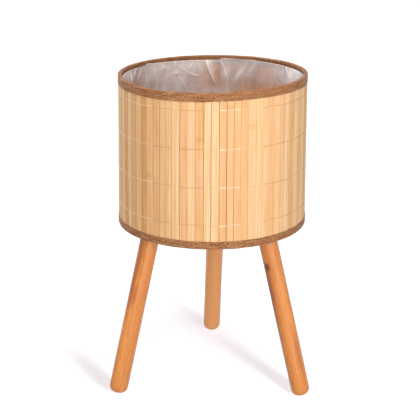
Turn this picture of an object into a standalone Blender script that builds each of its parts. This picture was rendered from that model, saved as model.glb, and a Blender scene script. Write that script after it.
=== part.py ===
"""Footed flower pot: a drum of bamboo slats on a plywood base, lined with film, on three splayed legs.

Metres, +Z up. The origin is on the floor, in the middle of the pot's bounding box, and the front faces -Y.
The drum's own axis stands a little in front of the origin, because one leg reaches out to the back.
"""

import math
import random

import bmesh
import bpy
from mathutils import Matrix

# Gap that two pieces keep where they touch, and the sides of the round pieces.
SEAT_GAP = 0.0003
RING_STEPS = 60
LEG_STEPS = 24
FASTENER_STEPS = 8

# Wall: bamboo slats side by side, held together by threads and a thin cloth behind them.
WALL_RADIUS = 0.125
WALL_HEIGHT = 0.2005
WALL_FOOT = 0.2303
SLAT_WIDTH = 0.0102
SLAT_UNEVENNESS = 0.18
SLAT_THICKNESS = 0.0013
SLAT_SEED = 1995
JOINT_WIDTH = 0.0005
JOINT_WEB = 0.0005
SEAM_WIDTH = 0.0006
SEAM_ANGLE = math.radians(93.1)
BACKING_THICKNESS = 0.0003
THREAD_DIAMETER = 0.0005
THREAD_STEPS = 4
FIRST_THREAD = 0.0307
THREAD_PITCH = 0.049

# Fabric tape folded over both ends of the wall, and the wire hoop inside the upper one.
TAPE_THICKNESS = 0.0004
TOP_TAPE_OUTSIDE = 0.0110
TOP_TAPE_INSIDE = 0.0115
TAPE_STEP_DOWN = 0.0015
BOTTOM_TAPE_OUTSIDE = 0.0092
BOTTOM_TAPE_UNDER = 0.0120
HOOP_WIRE = 0.0016
HOOP_WIRE_STEPS = 6

# Base disc, and the tacks that hold the wall to its edge under the lower tape.
BASE_THICKNESS = 0.009
TACK_COUNT = 12
TACK_SHANK = 0.0012
TACK_HEAD = 0.0032
TACK_HEAD_THICKNESS = 0.0004
TACK_LENGTH = 0.0100

# Clear film bag that lines the drum, and the adhesive strip that holds its upper edge.
FILM_THICKNESS = 0.0003
FILM_DROP = 0.0062
FILM_FOLD = 0.003
STRIP_THICKNESS = 0.0003
STRIP_MARGIN = 0.0005

# Legs: straight turned dowels with round ends.
LEG_COUNT = 3
FIRST_LEG_ANGLE = math.radians(90)
LEG_DIAMETER = 0.025
LEG_SPLAY = math.radians(14.4)
LEG_TOP_CHAMFER = 0.0008
LEG_TOP_CLEARANCE = 0.002
FOOT_FLAT = 0.006
FOOT_FILLET_STEPS = 6

# Steel leg plates: a flat flange with a slanted boss that the leg's end seats on. They are turned a little
# from the radial line, all the same way round, so the legs lean past it.
PLATE_TURN = math.radians(10)
PLATE_SIDE = 0.044
PLATE_THICKNESS = 0.002
PLATE_CORNER = 0.005
PLATE_CORNER_STEPS = 2
PLATE_MARGIN = 0.0025
BOSS_DIAMETER = 0.018
SCREW_INSET = 0.006
SCREW_SHANK = 0.0034
SCREW_HEAD = 0.0072
SCREW_HEAD_HEIGHT = 0.0022
SCREW_HEAD_SIDE = 0.0007
SCREW_HEAD_CROWN = 0.0036
SCREW_COVER = 0.0018

# Hanger bolts: machine thread up through the boss, wood thread down in the leg.
BOLT_DIAMETER = 0.008
BOLT_STANDOUT = 0.003
BOLT_IN_LEG = 0.030
BOLT_NECK = 0.0066
BOLT_NECK_LENGTH = 0.002
BOLT_TIP = 0.004
BOLT_RELIEF = 0.001

MERGE_DISTANCE = 0.00005
SMOOTH_ANGLE = math.radians(35)

# Radii and heights that follow from the sizes above. A "back" is the face nearest the wall.
wall_top = WALL_FOOT + WALL_HEIGHT
slat_back = WALL_RADIUS - SLAT_THICKNESS
cloth_back = slat_back - SEAT_GAP
cloth_face = cloth_back - BACKING_THICKNESS
tape_inner_back = cloth_face - SEAT_GAP
tape_inner_face = tape_inner_back - TAPE_THICKNESS
hoop_radius = cloth_face - SEAT_GAP - HOOP_WIRE / 2
bead_back = hoop_radius - HOOP_WIRE / 2 - SEAT_GAP
strip_back = tape_inner_face - SEAT_GAP
strip_face = strip_back - STRIP_THICKNESS
film_back = strip_face - SEAT_GAP
tape_outer_back = WALL_RADIUS + SEAT_GAP
tape_outer_face = tape_outer_back + TAPE_THICKNESS
base_radius = cloth_face - SEAT_GAP
base_top = WALL_FOOT + BASE_THICKNESS
rim_top = wall_top + SEAT_GAP + TAPE_THICKNESS
film_edge = rim_top - FILM_DROP
under_tape_end = tape_outer_face - BOTTOM_TAPE_UNDER
plate_underside = -SEAT_GAP - PLATE_THICKNESS

# The plates lie inside the lower tape, and each leg's axis meets the base's underside at its plate's middle.
plate_half = PLATE_SIDE / 2
mount_radius = math.sqrt((under_tape_end - PLATE_MARGIN) ** 2 - plate_half**2) - plate_half

# The boss reaches down until the leg's slanted end is clear of the flange.
leg_radius = LEG_DIAMETER / 2
boss_drop = leg_radius * math.sin(LEG_SPLAY) + LEG_TOP_CLEARANCE
boss_end = (plate_underside - boss_drop) / math.cos(LEG_SPLAY)
leg_top = boss_end - SEAT_GAP

# The round foot stands on the floor at its lowest point, this far outwards from the leg's upper end.
foot_fillet = leg_radius - FOOT_FLAT / 2
foot_centre = FOOT_FLAT / 2 * math.sin(LEG_SPLAY) + foot_fillet
foot_slide = (WALL_FOOT - foot_centre) * math.tan(LEG_SPLAY)


def clear_scene():
    for obj in list(bpy.data.objects):
        bpy.data.objects.remove(obj)


def new_collection(name, parent):
    made = bpy.data.collections.new(name)
    parent.children.link(made)
    return made


def material(name, colour, roughness, metallic=0.0, alpha=1.0):
    made = bpy.data.materials.new(name)
    made.use_nodes = True
    shader = made.node_tree.nodes["Principled BSDF"]
    shader.inputs["Base Color"].default_value = (*colour, 1.0)
    shader.inputs["Roughness"].default_value = roughness
    shader.inputs["Metallic"].default_value = metallic
    shader.inputs["Alpha"].default_value = alpha
    made.diffuse_color = (*colour, alpha)
    return made


def new_object(name, data, finish, parent, collection):
    """Puts a mesh in the scene as one named piece."""
    made = bpy.data.objects.new(name, data)
    if finish is not None:
        data.materials.append(finish)
    made.parent = parent
    collection.objects.link(made)
    return made


def new_empty(name, parent, matrix, collection):
    made = bpy.data.objects.new(name, None)
    made.empty_display_size = LEG_DIAMETER
    made.parent = parent
    made.matrix_local = matrix
    collection.objects.link(made)
    return made


def mesh_from(bm, name):
    mesh = bpy.data.meshes.new(name)
    bm.to_mesh(mesh)
    bm.free()
    return mesh


def profile_mesh(name, points, closed):
    """A chain of edges at +X in the XZ plane, which a Screw modifier turns into a round piece."""
    bm = bmesh.new()
    corners = [bm.verts.new((radius, 0.0, height)) for radius, height in points]
    for first, second in zip(corners, corners[1:]):
        bm.edges.new((first, second))
    if closed:
        bm.edges.new((corners[-1], corners[0]))
    return mesh_from(bm, name)


def turned(name, points, steps, finish, parent, collection, closed=False):
    """A piece turned about its own Z axis. The points run down its outer side."""
    made = new_object(name, profile_mesh(name, points, closed), finish, parent, collection)
    turn = made.modifiers.new("Turn", "SCREW")
    turn.axis = "Z"
    turn.steps = steps
    turn.render_steps = steps
    turn.use_merge_vertices = True
    turn.merge_threshold = MERGE_DISTANCE
    turn.use_smooth_shade = True
    return made


def turned_shell(name, points, thickness, outwards, finish, parent, collection):
    """A thin round piece: an open line turned about Z, thickened outwards or inwards of the line."""
    made = turned(name, points, RING_STEPS, finish, parent, collection)
    wall = made.modifiers.new("Thickness", "SOLIDIFY")
    wall.thickness = thickness
    wall.offset = 1.0 if outwards else -1.0
    wall.use_even_offset = True
    return made


def ring(name, inner, outer, low, high, finish, parent, collection):
    """A plain round band."""
    points = [(outer, high), (outer, low), (inner, low), (inner, high)]
    return turned(name, points, RING_STEPS, finish, parent, collection, closed=True)


def arc(centre, radius, start, end, steps):
    """Points on an arc in the XZ plane, from one angle to the other."""
    angles = [start + (end - start) * step / steps for step in range(steps + 1)]
    return [(centre[0] + radius * math.cos(a), centre[1] + radius * math.sin(a)) for a in angles]


def round_section(centre, diameter, steps):
    """The closed round section of a wire or a thread, starting at its outermost point and running down."""
    return arc(centre, diameter / 2, 0, -2 * math.pi, steps)[:-1]


def cylinder_mesh(name, radius, low, high, steps, matrix=None):
    """A closed cylinder along Z between two heights, then moved by the matrix."""
    bm = bmesh.new()
    bmesh.ops.create_cone(
        bm,
        cap_ends=True,
        segments=steps,
        radius1=radius,
        radius2=radius,
        depth=high - low,
        matrix=Matrix.Translation((0, 0, (high + low) / 2)),
    )
    if matrix is not None:
        bm.transform(matrix)
    return mesh_from(bm, name)


def cutter(name, mesh, parent, matrix, collection):
    made = new_object(name, mesh, None, parent, collection)
    made.matrix_local = matrix
    made.hide_render = True
    made.display_type = "WIRE"
    return made


def cut_by(piece, cutters):
    """Takes every cutter of a collection out of the piece."""
    cut = piece.modifiers.new("Holes", "BOOLEAN")
    cut.operation = "DIFFERENCE"
    cut.operand_type = "COLLECTION"
    cut.collection = cutters
    cut.solver = "EXACT"


def polar(radius, angle):
    return (radius * math.cos(angle), radius * math.sin(angle))


def slat_joints():
    """Angles of the joints, once round from the seam at the back, for slats split to uneven widths."""
    count = round(2 * math.pi * WALL_RADIUS / SLAT_WIDTH)
    dice = random.Random(SLAT_SEED)
    widths = [1 + SLAT_UNEVENNESS * dice.uniform(-1, 1) for _ in range(count)]
    seam = SEAM_WIDTH / WALL_RADIUS
    sweep = 2 * math.pi - seam
    angles = [SEAM_ANGLE + seam / 2]
    for width in widths:
        angles.append(angles[-1] + sweep * width / sum(widths))
    return angles


def wall_outline():
    """The rolled mat from above: flat slats outside with a groove at each joint, and a plain face inside."""
    joints = slat_joints()
    half = JOINT_WIDTH / 2 / WALL_RADIUS
    groove_foot = slat_back + JOINT_WEB
    outside = [polar(WALL_RADIUS, joints[0])]
    for angle in joints[1:-1]:
        outside.append(polar(WALL_RADIUS, angle - half))
        outside.append(polar(groove_foot, angle))
        outside.append(polar(WALL_RADIUS, angle + half))
    outside.append(polar(WALL_RADIUS, joints[-1]))
    inside = [polar(slat_back, angle) for angle in reversed(joints)]
    return outside + inside


def extruded(name, outline, low, high, finish, parent, collection):
    """A flat outline raised between two heights: a filled 2D curve, made a mesh so that it can be cut."""
    curve = bpy.data.curves.new(name, "CURVE")
    curve.dimensions = "2D"
    curve.fill_mode = "BOTH"
    curve.extrude = (high - low) / 2
    spline = curve.splines.new("POLY")
    spline.points.add(len(outline) - 1)
    for point, (x, y) in zip(spline.points, outline):
        point.co = (x, y, 0.0, 1.0)
    spline.use_cyclic_u = True
    drawn = bpy.data.objects.new(name + "_outline", curve)
    drawn.location = (0, 0, (low + high) / 2)
    collection.objects.link(drawn)
    bpy.context.view_layer.update()
    graph = bpy.context.evaluated_depsgraph_get()
    mesh = bpy.data.meshes.new_from_object(drawn.evaluated_get(graph))
    mesh.name = name
    bm = bmesh.new()
    bm.from_mesh(mesh)
    bmesh.ops.remove_doubles(bm, verts=bm.verts, dist=MERGE_DISTANCE)
    bmesh.ops.recalc_face_normals(bm, faces=bm.faces)
    bm.to_mesh(mesh)
    bm.free()
    made = new_object(name, mesh, finish, parent, collection)
    made.matrix_local = drawn.matrix_world.copy()
    bpy.data.objects.remove(drawn)
    return made


def tack_frames():
    """A frame for each tack: its origin on the slats' outer face and its +Z pointing out of the wall."""
    outwards = Matrix.Rotation(math.pi / 2, 4, "Y")
    place = Matrix.Translation((WALL_RADIUS, 0, WALL_FOOT + BASE_THICKNESS / 2)) @ outwards
    step = 2 * math.pi / TACK_COUNT
    return [Matrix.Rotation(step * (number + 0.5), 4, "Z") @ place for number in range(TACK_COUNT)]


def make_tack_cutters(pot, cutters):
    """A shallow pocket for each tack's head and a hole for its shank, through the wall and into the base."""
    holes = new_collection("tack_cutters", cutters)
    pocket = -2 * SEAT_GAP - TACK_HEAD_THICKNESS
    for number, frame in enumerate(tack_frames(), 1):
        head = cylinder_mesh(
            f"tack_pocket_{number:02d}",
            TACK_HEAD / 2 + SEAT_GAP,
            pocket,
            SLAT_THICKNESS,
            FASTENER_STEPS,
        )
        shank = cylinder_mesh(
            f"tack_hole_{number:02d}",
            TACK_SHANK / 2 + SEAT_GAP,
            -TACK_LENGTH - SEAT_GAP,
            pocket / 2,
            FASTENER_STEPS,
        )
        for mesh in (head, shank):
            cutter(mesh.name, mesh, pot, frame, holes)
    return holes


def make_wall(finishes, tack_cutters, pot, parts):
    mat = extruded("bamboo_mat", wall_outline(), WALL_FOOT, wall_top, finishes["bamboo"], pot, parts)
    cloth = ring("backing_cloth", cloth_face, cloth_back, WALL_FOOT, wall_top, finishes["cloth"], pot, parts)
    cut_by(mat, tack_cutters)
    cut_by(cloth, tack_cutters)


def make_threads(finish, pot, parts):
    """The rows of thread that cross the slats between the two tapes, as rings that lie on them."""
    radius = tape_outer_back + THREAD_DIAMETER / 2
    free_height = WALL_HEIGHT - TOP_TAPE_OUTSIDE - FIRST_THREAD
    for row in range(1 + int(free_height / THREAD_PITCH)):
        height = WALL_FOOT + FIRST_THREAD + row * THREAD_PITCH
        section = round_section((radius, height), THREAD_DIAMETER, THREAD_STEPS)
        turned(f"weft_thread_{row + 1}", section, RING_STEPS, finish, pot, parts, closed=True)


def make_tacks(finish, pot, parts):
    """Flat-headed tacks through the wall into the edge of the base disc."""
    head_top = -SEAT_GAP
    head_foot = head_top - TACK_HEAD_THICKNESS
    points = [
        (0, head_top),
        (TACK_HEAD / 2, head_top),
        (TACK_HEAD / 2, head_foot),
        (TACK_SHANK / 2, head_foot),
        (TACK_SHANK / 2, -TACK_LENGTH + TACK_SHANK),
        (0, -TACK_LENGTH),
    ]
    for number, frame in enumerate(tack_frames(), 1):
        tack = turned(f"tack_{number:02d}", points, FASTENER_STEPS, finish, pot, parts)
        tack.matrix_local = frame


def make_top_tape(finish, pot, parts):
    """Tape folded over the hoop and the wall's upper edge, and pressed against the cloth below the hoop."""
    fold = SEAT_GAP
    over = wall_top + SEAT_GAP
    bead_foot = wall_top - HOOP_WIRE - SEAT_GAP
    back_line = [
        (tape_inner_back, rim_top - TOP_TAPE_INSIDE),
        (tape_inner_back, bead_foot - TAPE_STEP_DOWN),
        (bead_back, bead_foot),
        (bead_back, over - fold),
        (bead_back + fold, over),
        (tape_outer_back - fold, over),
        (tape_outer_back, over - fold),
        (tape_outer_back, rim_top - TOP_TAPE_OUTSIDE),
    ]
    turned_shell("top_tape", back_line, TAPE_THICKNESS, True, finish, pot, parts)


def make_bottom_tape(finish, pot, parts):
    """Tape folded under the wall's lower edge and onto the base disc's underside."""
    fold = SEAT_GAP
    under = WALL_FOOT - SEAT_GAP
    back_line = [
        (tape_outer_back, WALL_FOOT + BOTTOM_TAPE_OUTSIDE),
        (tape_outer_back, under + fold),
        (tape_outer_back - fold, under),
        (under_tape_end, under),
    ]
    turned_shell("bottom_tape", back_line, TAPE_THICKNESS, True, finish, pot, parts)


def make_hoop(finish, pot, parts):
    section = round_section((hoop_radius, wall_top - HOOP_WIRE / 2), HOOP_WIRE, HOOP_WIRE_STEPS)
    turned("rim_hoop", section, RING_STEPS, finish, pot, parts, closed=True)


def make_liner(finishes, pot, parts):
    """The film bag stands on the base disc, and its upper edge is stuck to the tape inside the rim."""
    floor = base_top + SEAT_GAP
    outer_line = [
        (film_back, film_edge),
        (film_back, floor + FILM_FOLD),
        (film_back - FILM_FOLD, floor),
        (0, floor),
    ]
    turned_shell("film_liner", outer_line, FILM_THICKNESS, False, finishes["film"], pot, parts)
    strip_foot = rim_top - TOP_TAPE_INSIDE + STRIP_MARGIN
    strip_top = film_edge - STRIP_MARGIN
    ring("liner_strip", strip_face, strip_back, strip_foot, strip_top, finishes["strip"], pot, parts)


def leg_angles():
    return [FIRST_LEG_ANGLE + 2 * math.pi * number / LEG_COUNT for number in range(LEG_COUNT)]


def plate_frame(angle):
    """A leg plate's frame: the origin is where the leg's axis meets the base's underside, and the leg leans
    towards +X."""
    place = Matrix.Translation((mount_radius, 0, WALL_FOOT)) @ Matrix.Rotation(PLATE_TURN, 4, "Z")
    return Matrix.Rotation(angle, 4, "Z") @ place


def pot_reach(direction):
    """How far the pot reaches from the drum's axis in a horizontal direction, at a foot or at the tape."""
    reach = [tape_outer_face]
    for angle in leg_angles():
        off = direction - angle - PLATE_TURN
        flat = FOOT_FLAT / 2 * math.hypot(math.cos(off) * math.cos(LEG_SPLAY), math.sin(off))
        middle = mount_radius * math.cos(direction - angle) + foot_slide * math.cos(off)
        reach.append(middle + flat + foot_fillet)
    return max(reach)


def axis_place():
    """The drum's axis, placed so that the origin is under the middle of the pot's bounding box."""
    x = (pot_reach(math.pi) - pot_reach(0)) / 2
    y = (pot_reach(-math.pi / 2) - pot_reach(math.pi / 2)) / 2
    return (x, y, 0)


def leg_tilt():
    """Turns a plate's frame so that +Z runs up along the leg's own axis."""
    return Matrix.Rotation(-LEG_SPLAY, 4, "Y")


def screw_places():
    """The four screws' places in the plate's frame."""
    half = plate_half - SCREW_INSET
    return [(x, y) for x in (-half, half) for y in (-half, half)]


def flange_mesh(name):
    """The plate's square flange with its corners rounded."""
    bm = bmesh.new()
    place = Matrix.Translation((0, 0, -SEAT_GAP - PLATE_THICKNESS / 2))
    sides = Matrix.Diagonal((PLATE_SIDE, PLATE_SIDE, PLATE_THICKNESS, 1))
    bmesh.ops.create_cube(bm, size=1.0, matrix=place @ sides)
    bmesh.ops.bevel(
        bm,
        geom=[edge for edge in bm.edges if edge.verts[0].co.xy == edge.verts[1].co.xy],
        offset=PLATE_CORNER,
        segments=PLATE_CORNER_STEPS,
        profile=0.5,
        affect="EDGES",
    )
    return mesh_from(bm, name)


def boss_mesh(name):
    """The slanted boss, from the middle of the flange down to the leg's end."""
    bm = bmesh.new()
    bmesh.ops.create_cone(
        bm,
        cap_ends=True,
        segments=LEG_STEPS,
        radius1=BOSS_DIAMETER / 2,
        radius2=BOSS_DIAMETER / 2,
        depth=-2 * boss_end,
        matrix=leg_tilt(),
    )
    cut = bmesh.ops.bisect_plane(
        bm,
        geom=bm.verts[:] + bm.edges[:] + bm.faces[:],
        plane_co=(0, 0, -SEAT_GAP - PLATE_THICKNESS / 2),
        plane_no=(0, 0, 1),
        clear_outer=True,
    )
    rim = [item for item in cut["geom_cut"] if isinstance(item, bmesh.types.BMEdge)]
    bmesh.ops.contextual_create(bm, geom=rim)
    bmesh.ops.recalc_face_normals(bm, faces=bm.faces)
    return mesh_from(bm, name)


def screw_cutter_mesh(name, x, y, low, high):
    place = Matrix.Translation((x, y, 0))
    return cylinder_mesh(name, SCREW_SHANK / 2 + SEAT_GAP, low, high, FASTENER_STEPS, place)


def make_leg_plate(number, frame, finish, parts, cutters):
    """One plate with its bore along the leg's axis and its four screw holes."""
    plate = new_object(f"leg_plate_{number}", flange_mesh(f"leg_plate_{number}"), finish, frame, parts)
    boss = cutter(f"boss_{number}", boss_mesh(f"boss_{number}"), frame, Matrix.Identity(4), cutters)
    join = plate.modifiers.new("Boss", "BOOLEAN")
    join.operation = "UNION"
    join.object = boss
    join.solver = "EXACT"
    holes = new_collection(f"leg_plate_{number}_cutters", cutters)
    name = f"plate_bore_{number}"
    bore_radius = BOLT_DIAMETER / 2 + SEAT_GAP
    bore = cylinder_mesh(name, bore_radius, 2 * boss_end, -boss_end, FASTENER_STEPS, leg_tilt())
    cutter(name, bore, frame, Matrix.Identity(4), holes)
    for corner, (x, y) in enumerate(screw_places(), 1):
        name = f"plate_hole_{number}_{corner}"
        hole = screw_cutter_mesh(name, x, y, 2 * plate_underside, PLATE_THICKNESS)
        cutter(name, hole, frame, Matrix.Identity(4), holes)
    cut_by(plate, holes)


def make_screws(number, frame, finish, parts):
    """Pan-head screws up through the plate into the base disc."""
    head_top = plate_underside - SEAT_GAP
    head_foot = head_top - SCREW_HEAD_HEIGHT
    shank = SCREW_SHANK / 2
    tip = BASE_THICKNESS - SCREW_COVER
    points = [
        (0, tip),
        (shank, tip - SCREW_SHANK),
        (shank, head_top),
        (SCREW_HEAD / 2, head_top),
        (SCREW_HEAD / 2, head_top - SCREW_HEAD_SIDE),
        (SCREW_HEAD_CROWN / 2, head_foot),
        (0, head_foot),
    ]
    for corner, (x, y) in enumerate(screw_places(), 1):
        screw = turned(f"plate_screw_{number}_{corner}", points, FASTENER_STEPS, finish, frame, parts)
        screw.location = (x, y, 0)


def make_bolt(number, axis, finish, parts):
    """A hanger bolt on the leg's axis, from inside the leg to just above the base's underside."""
    radius = BOLT_DIAMETER / 2
    neck = BOLT_NECK / 2
    chamfer = radius - neck
    neck_top = boss_end + BOLT_NECK_LENGTH / 2
    neck_foot = boss_end - BOLT_NECK_LENGTH / 2
    tip = leg_top - BOLT_IN_LEG
    points = [
        (0, BOLT_STANDOUT),
        (neck, BOLT_STANDOUT),
        (radius, BOLT_STANDOUT - chamfer),
        (radius, neck_top + chamfer),
        (neck, neck_top),
        (neck, neck_foot),
        (radius, neck_foot - chamfer),
        (radius, tip + BOLT_TIP),
        (0, tip),
    ]
    turned(f"hanger_bolt_{number}", points, FASTENER_STEPS, finish, axis, parts)


def make_leg(number, axis, finish, parts):
    """A dowel with a bore for the bolt in its upper end and a round foot."""
    bore = BOLT_DIAMETER / 2 + SEAT_GAP
    bore_foot = leg_top - BOLT_IN_LEG - SEAT_GAP
    fillet_height = -(WALL_FOOT - foot_centre) / math.cos(LEG_SPLAY)
    foot = arc((FOOT_FLAT / 2, fillet_height), foot_fillet, 0, -math.pi / 2, FOOT_FILLET_STEPS)
    points = [
        (0, bore_foot),
        (bore, bore_foot),
        (bore, leg_top),
        (leg_radius - LEG_TOP_CHAMFER, leg_top),
        (leg_radius, leg_top - LEG_TOP_CHAMFER),
        *foot,
        (0, fillet_height - foot_fillet),
    ]
    turned(f"leg_{number}", points, LEG_STEPS, finish, axis, parts)


def make_legs(finishes, pot, parts, cutters):
    for number, angle in enumerate(leg_angles(), 1):
        frame = new_empty(f"leg_mount_{number}", pot, plate_frame(angle), parts)
        axis = new_empty(f"leg_axis_{number}", frame, leg_tilt(), parts)
        make_leg_plate(number, frame, finishes["plate"], parts, cutters)
        make_screws(number, frame, finishes["fastener"], parts)
        make_bolt(number, axis, finishes["fastener"], parts)
        make_leg(number, axis, finishes["wood"], parts)


def make_base(finish, tack_cutters, pot, parts, cutters):
    """The base disc with pilot holes for its tacks and screws, and a relief hole over each bolt."""
    disc = cylinder_mesh("base_disc", base_radius, WALL_FOOT, base_top, RING_STEPS)
    base = new_object("base_disc", disc, finish, pot, parts)
    holes = new_collection("base_cutters", cutters)
    relief_radius = BOLT_DIAMETER / 2 + BOLT_RELIEF
    for number, angle in enumerate(leg_angles(), 1):
        name = f"bolt_relief_{number}"
        relief_top = BOLT_STANDOUT + BOLT_RELIEF
        relief = cylinder_mesh(name, relief_radius, -BASE_THICKNESS, relief_top, FASTENER_STEPS, leg_tilt())
        cutter(name, relief, pot, plate_frame(angle), holes)
        for corner, (x, y) in enumerate(screw_places(), 1):
            name = f"screw_pilot_{number}_{corner}"
            pilot_top = BASE_THICKNESS - SCREW_COVER + SEAT_GAP
            pilot = screw_cutter_mesh(name, x, y, -BASE_THICKNESS, pilot_top)
            cutter(name, pilot, pot, plate_frame(angle), holes)
    cut_by(base, tack_cutters)
    cut_by(base, holes)


def make_finishes():
    return {
        "bamboo": material("bamboo", (0.84, 0.60, 0.33), 0.45),
        "cloth": material("backing_cloth", (0.40, 0.24, 0.15), 0.9),
        "thread": material("weft_thread", (0.88, 0.75, 0.52), 0.35),
        "tape": material("brown_tape", (0.42, 0.19, 0.08), 0.9),
        "film": material("clear_film", (0.86, 0.86, 0.88), 0.12, alpha=0.35),
        "strip": material("adhesive_strip", (0.85, 0.83, 0.78), 0.6),
        "base": material("plywood", (0.66, 0.47, 0.28), 0.7),
        "wood": material("stained_wood", (0.72, 0.33, 0.12), 0.4),
        "plate": material("zinc_plated_steel", (0.55, 0.55, 0.56), 0.35, metallic=1.0),
        "fastener": material("bright_steel", (0.65, 0.65, 0.66), 0.3, metallic=1.0),
    }


def main():
    clear_scene()
    parts = new_collection("footed_flower_pot", bpy.context.scene.collection)
    cutters = new_collection("cutters", bpy.context.scene.collection)
    finishes = make_finishes()
    pot = new_empty("pot_axis", None, Matrix.Translation(axis_place()), parts)
    tack_cutters = make_tack_cutters(pot, cutters)
    make_wall(finishes, tack_cutters, pot, parts)
    make_threads(finishes["thread"], pot, parts)
    make_tacks(finishes["fastener"], pot, parts)
    make_hoop(finishes["plate"], pot, parts)
    make_top_tape(finishes["tape"], pot, parts)
    make_bottom_tape(finishes["tape"], pot, parts)
    make_liner(finishes, pot, parts)
    make_base(finishes["base"], tack_cutters, pot, parts, cutters)
    make_legs(finishes, pot, parts, cutters)
    for obj in parts.objects:
        if obj.type == "MESH":
            obj.data.shade_smooth()
            obj.data.set_sharp_from_angle(angle=SMOOTH_ANGLE)


main()
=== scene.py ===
"""The footed flower pot's finish: slats, threads, tapes, film bag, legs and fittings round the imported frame.

Laid out as an add-on and run as a script. Metres, +Z up, in the frame's own axes, with the front at -Y.
Bearings are degrees: on the film from its back and elsewhere from the front, both towards +X.
"""

import math
import random
from collections import namedtuple
from functools import partial

import bmesh
import bpy
import numpy as np
from bpy.props import FloatProperty, FloatVectorProperty, PointerProperty
from mathutils import Matrix, Vector, noise


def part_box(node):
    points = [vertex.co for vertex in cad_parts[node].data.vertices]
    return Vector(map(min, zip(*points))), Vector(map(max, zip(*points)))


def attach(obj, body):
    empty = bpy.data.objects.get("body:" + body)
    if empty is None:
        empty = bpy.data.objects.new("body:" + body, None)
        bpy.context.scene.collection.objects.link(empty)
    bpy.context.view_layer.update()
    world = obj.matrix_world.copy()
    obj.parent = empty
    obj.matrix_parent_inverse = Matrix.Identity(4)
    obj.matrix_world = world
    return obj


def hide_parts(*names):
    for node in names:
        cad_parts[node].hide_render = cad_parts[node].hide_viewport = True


bl_info = {
    "name": "Footed Flower Pot",
    "version": (1, 0, 0),
    "blender": (4, 5, 0),
    "location": "3D View > Sidebar > Flower Pot",
    "description": "Dresses the bamboo flower pot's frame with its finished pieces",
    "category": "Object",
}

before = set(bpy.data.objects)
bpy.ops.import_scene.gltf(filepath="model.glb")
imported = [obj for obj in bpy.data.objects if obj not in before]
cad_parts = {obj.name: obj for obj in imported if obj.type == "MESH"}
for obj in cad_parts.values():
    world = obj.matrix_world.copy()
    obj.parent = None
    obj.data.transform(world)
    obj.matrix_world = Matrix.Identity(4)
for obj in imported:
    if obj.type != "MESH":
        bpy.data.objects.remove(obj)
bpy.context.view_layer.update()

Band = namedtuple("Band", "inner outer low high")
Fold = namedtuple("Fold", "bearing depth end_bearing end_depth width rise")
Veil = namedtuple("Veil", "bearing depth width height haze")
Stain = namedtuple("Stain", "leg turn height width length depth")
Lamp = namedtuple("Lamp", "name floor size distance bearing height")


def corners(node):
    """The distinct corners of a CAD node's mesh."""
    points = np.array([vertex.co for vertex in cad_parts[node].data.vertices], float)
    return np.unique(points.round(6), axis=0)


rim_low, rim_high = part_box("top_tape")
AXIS = Vector(((rim_low.x + rim_high.x) / 2, (rim_low.y + rim_high.y) / 2, 0.0))


def band(node):
    """Inner and outer radius about the drum's axis, and lowest and highest point, of a round CAD node."""
    points = corners(node)
    away = np.hypot(points[:, 0] - AXIS.x, points[:, 1] - AXIS.y)
    return Band(away.min(), away.max(), points[:, 2].min(), points[:, 2].max())


WALL, CLOTH, RIM_TAPE, FOOT_TAPE = map(band, ["bamboo_mat", "backing_cloth", "top_tape", "bottom_tape"])
HOOP, FILM, STRIP, BASE = map(band, ["rim_hoop", "film_liner", "liner_strip", "base_disc"])
THREAD_NODES = [f"weft_thread_{row}" for row in range(1, 5)]
THREADS = [band(node) for node in THREAD_NODES]
LEGS = ["leg_1", "leg_2", "leg_3"]
PLATES = ["leg_plate_1", "leg_plate_2", "leg_plate_3"]
SCREWS = [f"plate_screw_{plate}_{corner}" for plate in (1, 2, 3) for corner in (1, 2, 3, 4)]
BOLTS = [f"hanger_bolt_{number}" for number in (1, 2, 3)]
TACKS = [f"tack_{number:02d}" for number in range(1, 13)]

SEAT_GAP = 0.0003
ROUND_STEPS = 240

# The drum is a little out of true, as handwork is: it widens downwards, its foot lies a little to the right,
# its rim and foot aren't quite level, and its rim sinks at one bearing, by a depth, the more narrowly the
# higher the power.
DRUM_FLARE = 0.01275
RIM_TILT = 0.0117
FOOT_TILT = 0.006
FOOT_SHIFT = 0.0004
RIM_DIP = (-22.0, 0.0024, 8)

# Tapes: how tightly they bend, how far the lower one reaches over its CAD band, where the upper one leaves the
# hoop, and how far it then stands in from its edge at depths under the hoop's middle.
TAPE_THICKNESS = 0.0004
TAPE_BEND = 0.001
FOOT_TAPE_OVER = 0.0006
HOOP_LEFT = 205
TAPE_TUCK = [(0.0009, 0.0022), (0.0002, 0.0031), (0.0, 0.0042)]

# The wall's seam, where its first and last slats meet, as an angle about the axis.
SEAM_ANGLE = math.radians(93.1)

# Slats: what each draws from a range, in this order. A scar's height is mostly below the wall, and a thread
# runs under the few slats that draw less than the share.
SLAT_SEED = 24
SLAT_RANGES = {
    "lean": (-0.02, 0.02),
    "tone": (0.1, 0.42),
    "warmth": (-0.6, 0.5),
    "scar": (WALL.low - 6.0, WALL.high),
    "under": (0.0, 1.0),
    "open": (0.4, 1.0),
    # How strongly the thread over each slat takes its painted highlight.
    "pale": (0.15, 1.0),
}
UNDER_SHARE = 0.05
# Slats and nodes in them that stand out, by bearing.
DEEPER_SLATS = [(-37.9, 1.0), (-57.0, 0.75), (-14.0, 0.55), (-2.7, 0.65), (23.4, 0.55)]
PALER_SLATS = [(-8.9, 0.25), (-18.5, 0.25), (1.9, 0.15), (6.2, 0.2)]
THREAD_UNDER = [(1.9, 1.0), (34.0, 1.0)]
SCARS = [(-4.2, 0.372), (-35.3, 0.319), (15.5, 0.412)]
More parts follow.
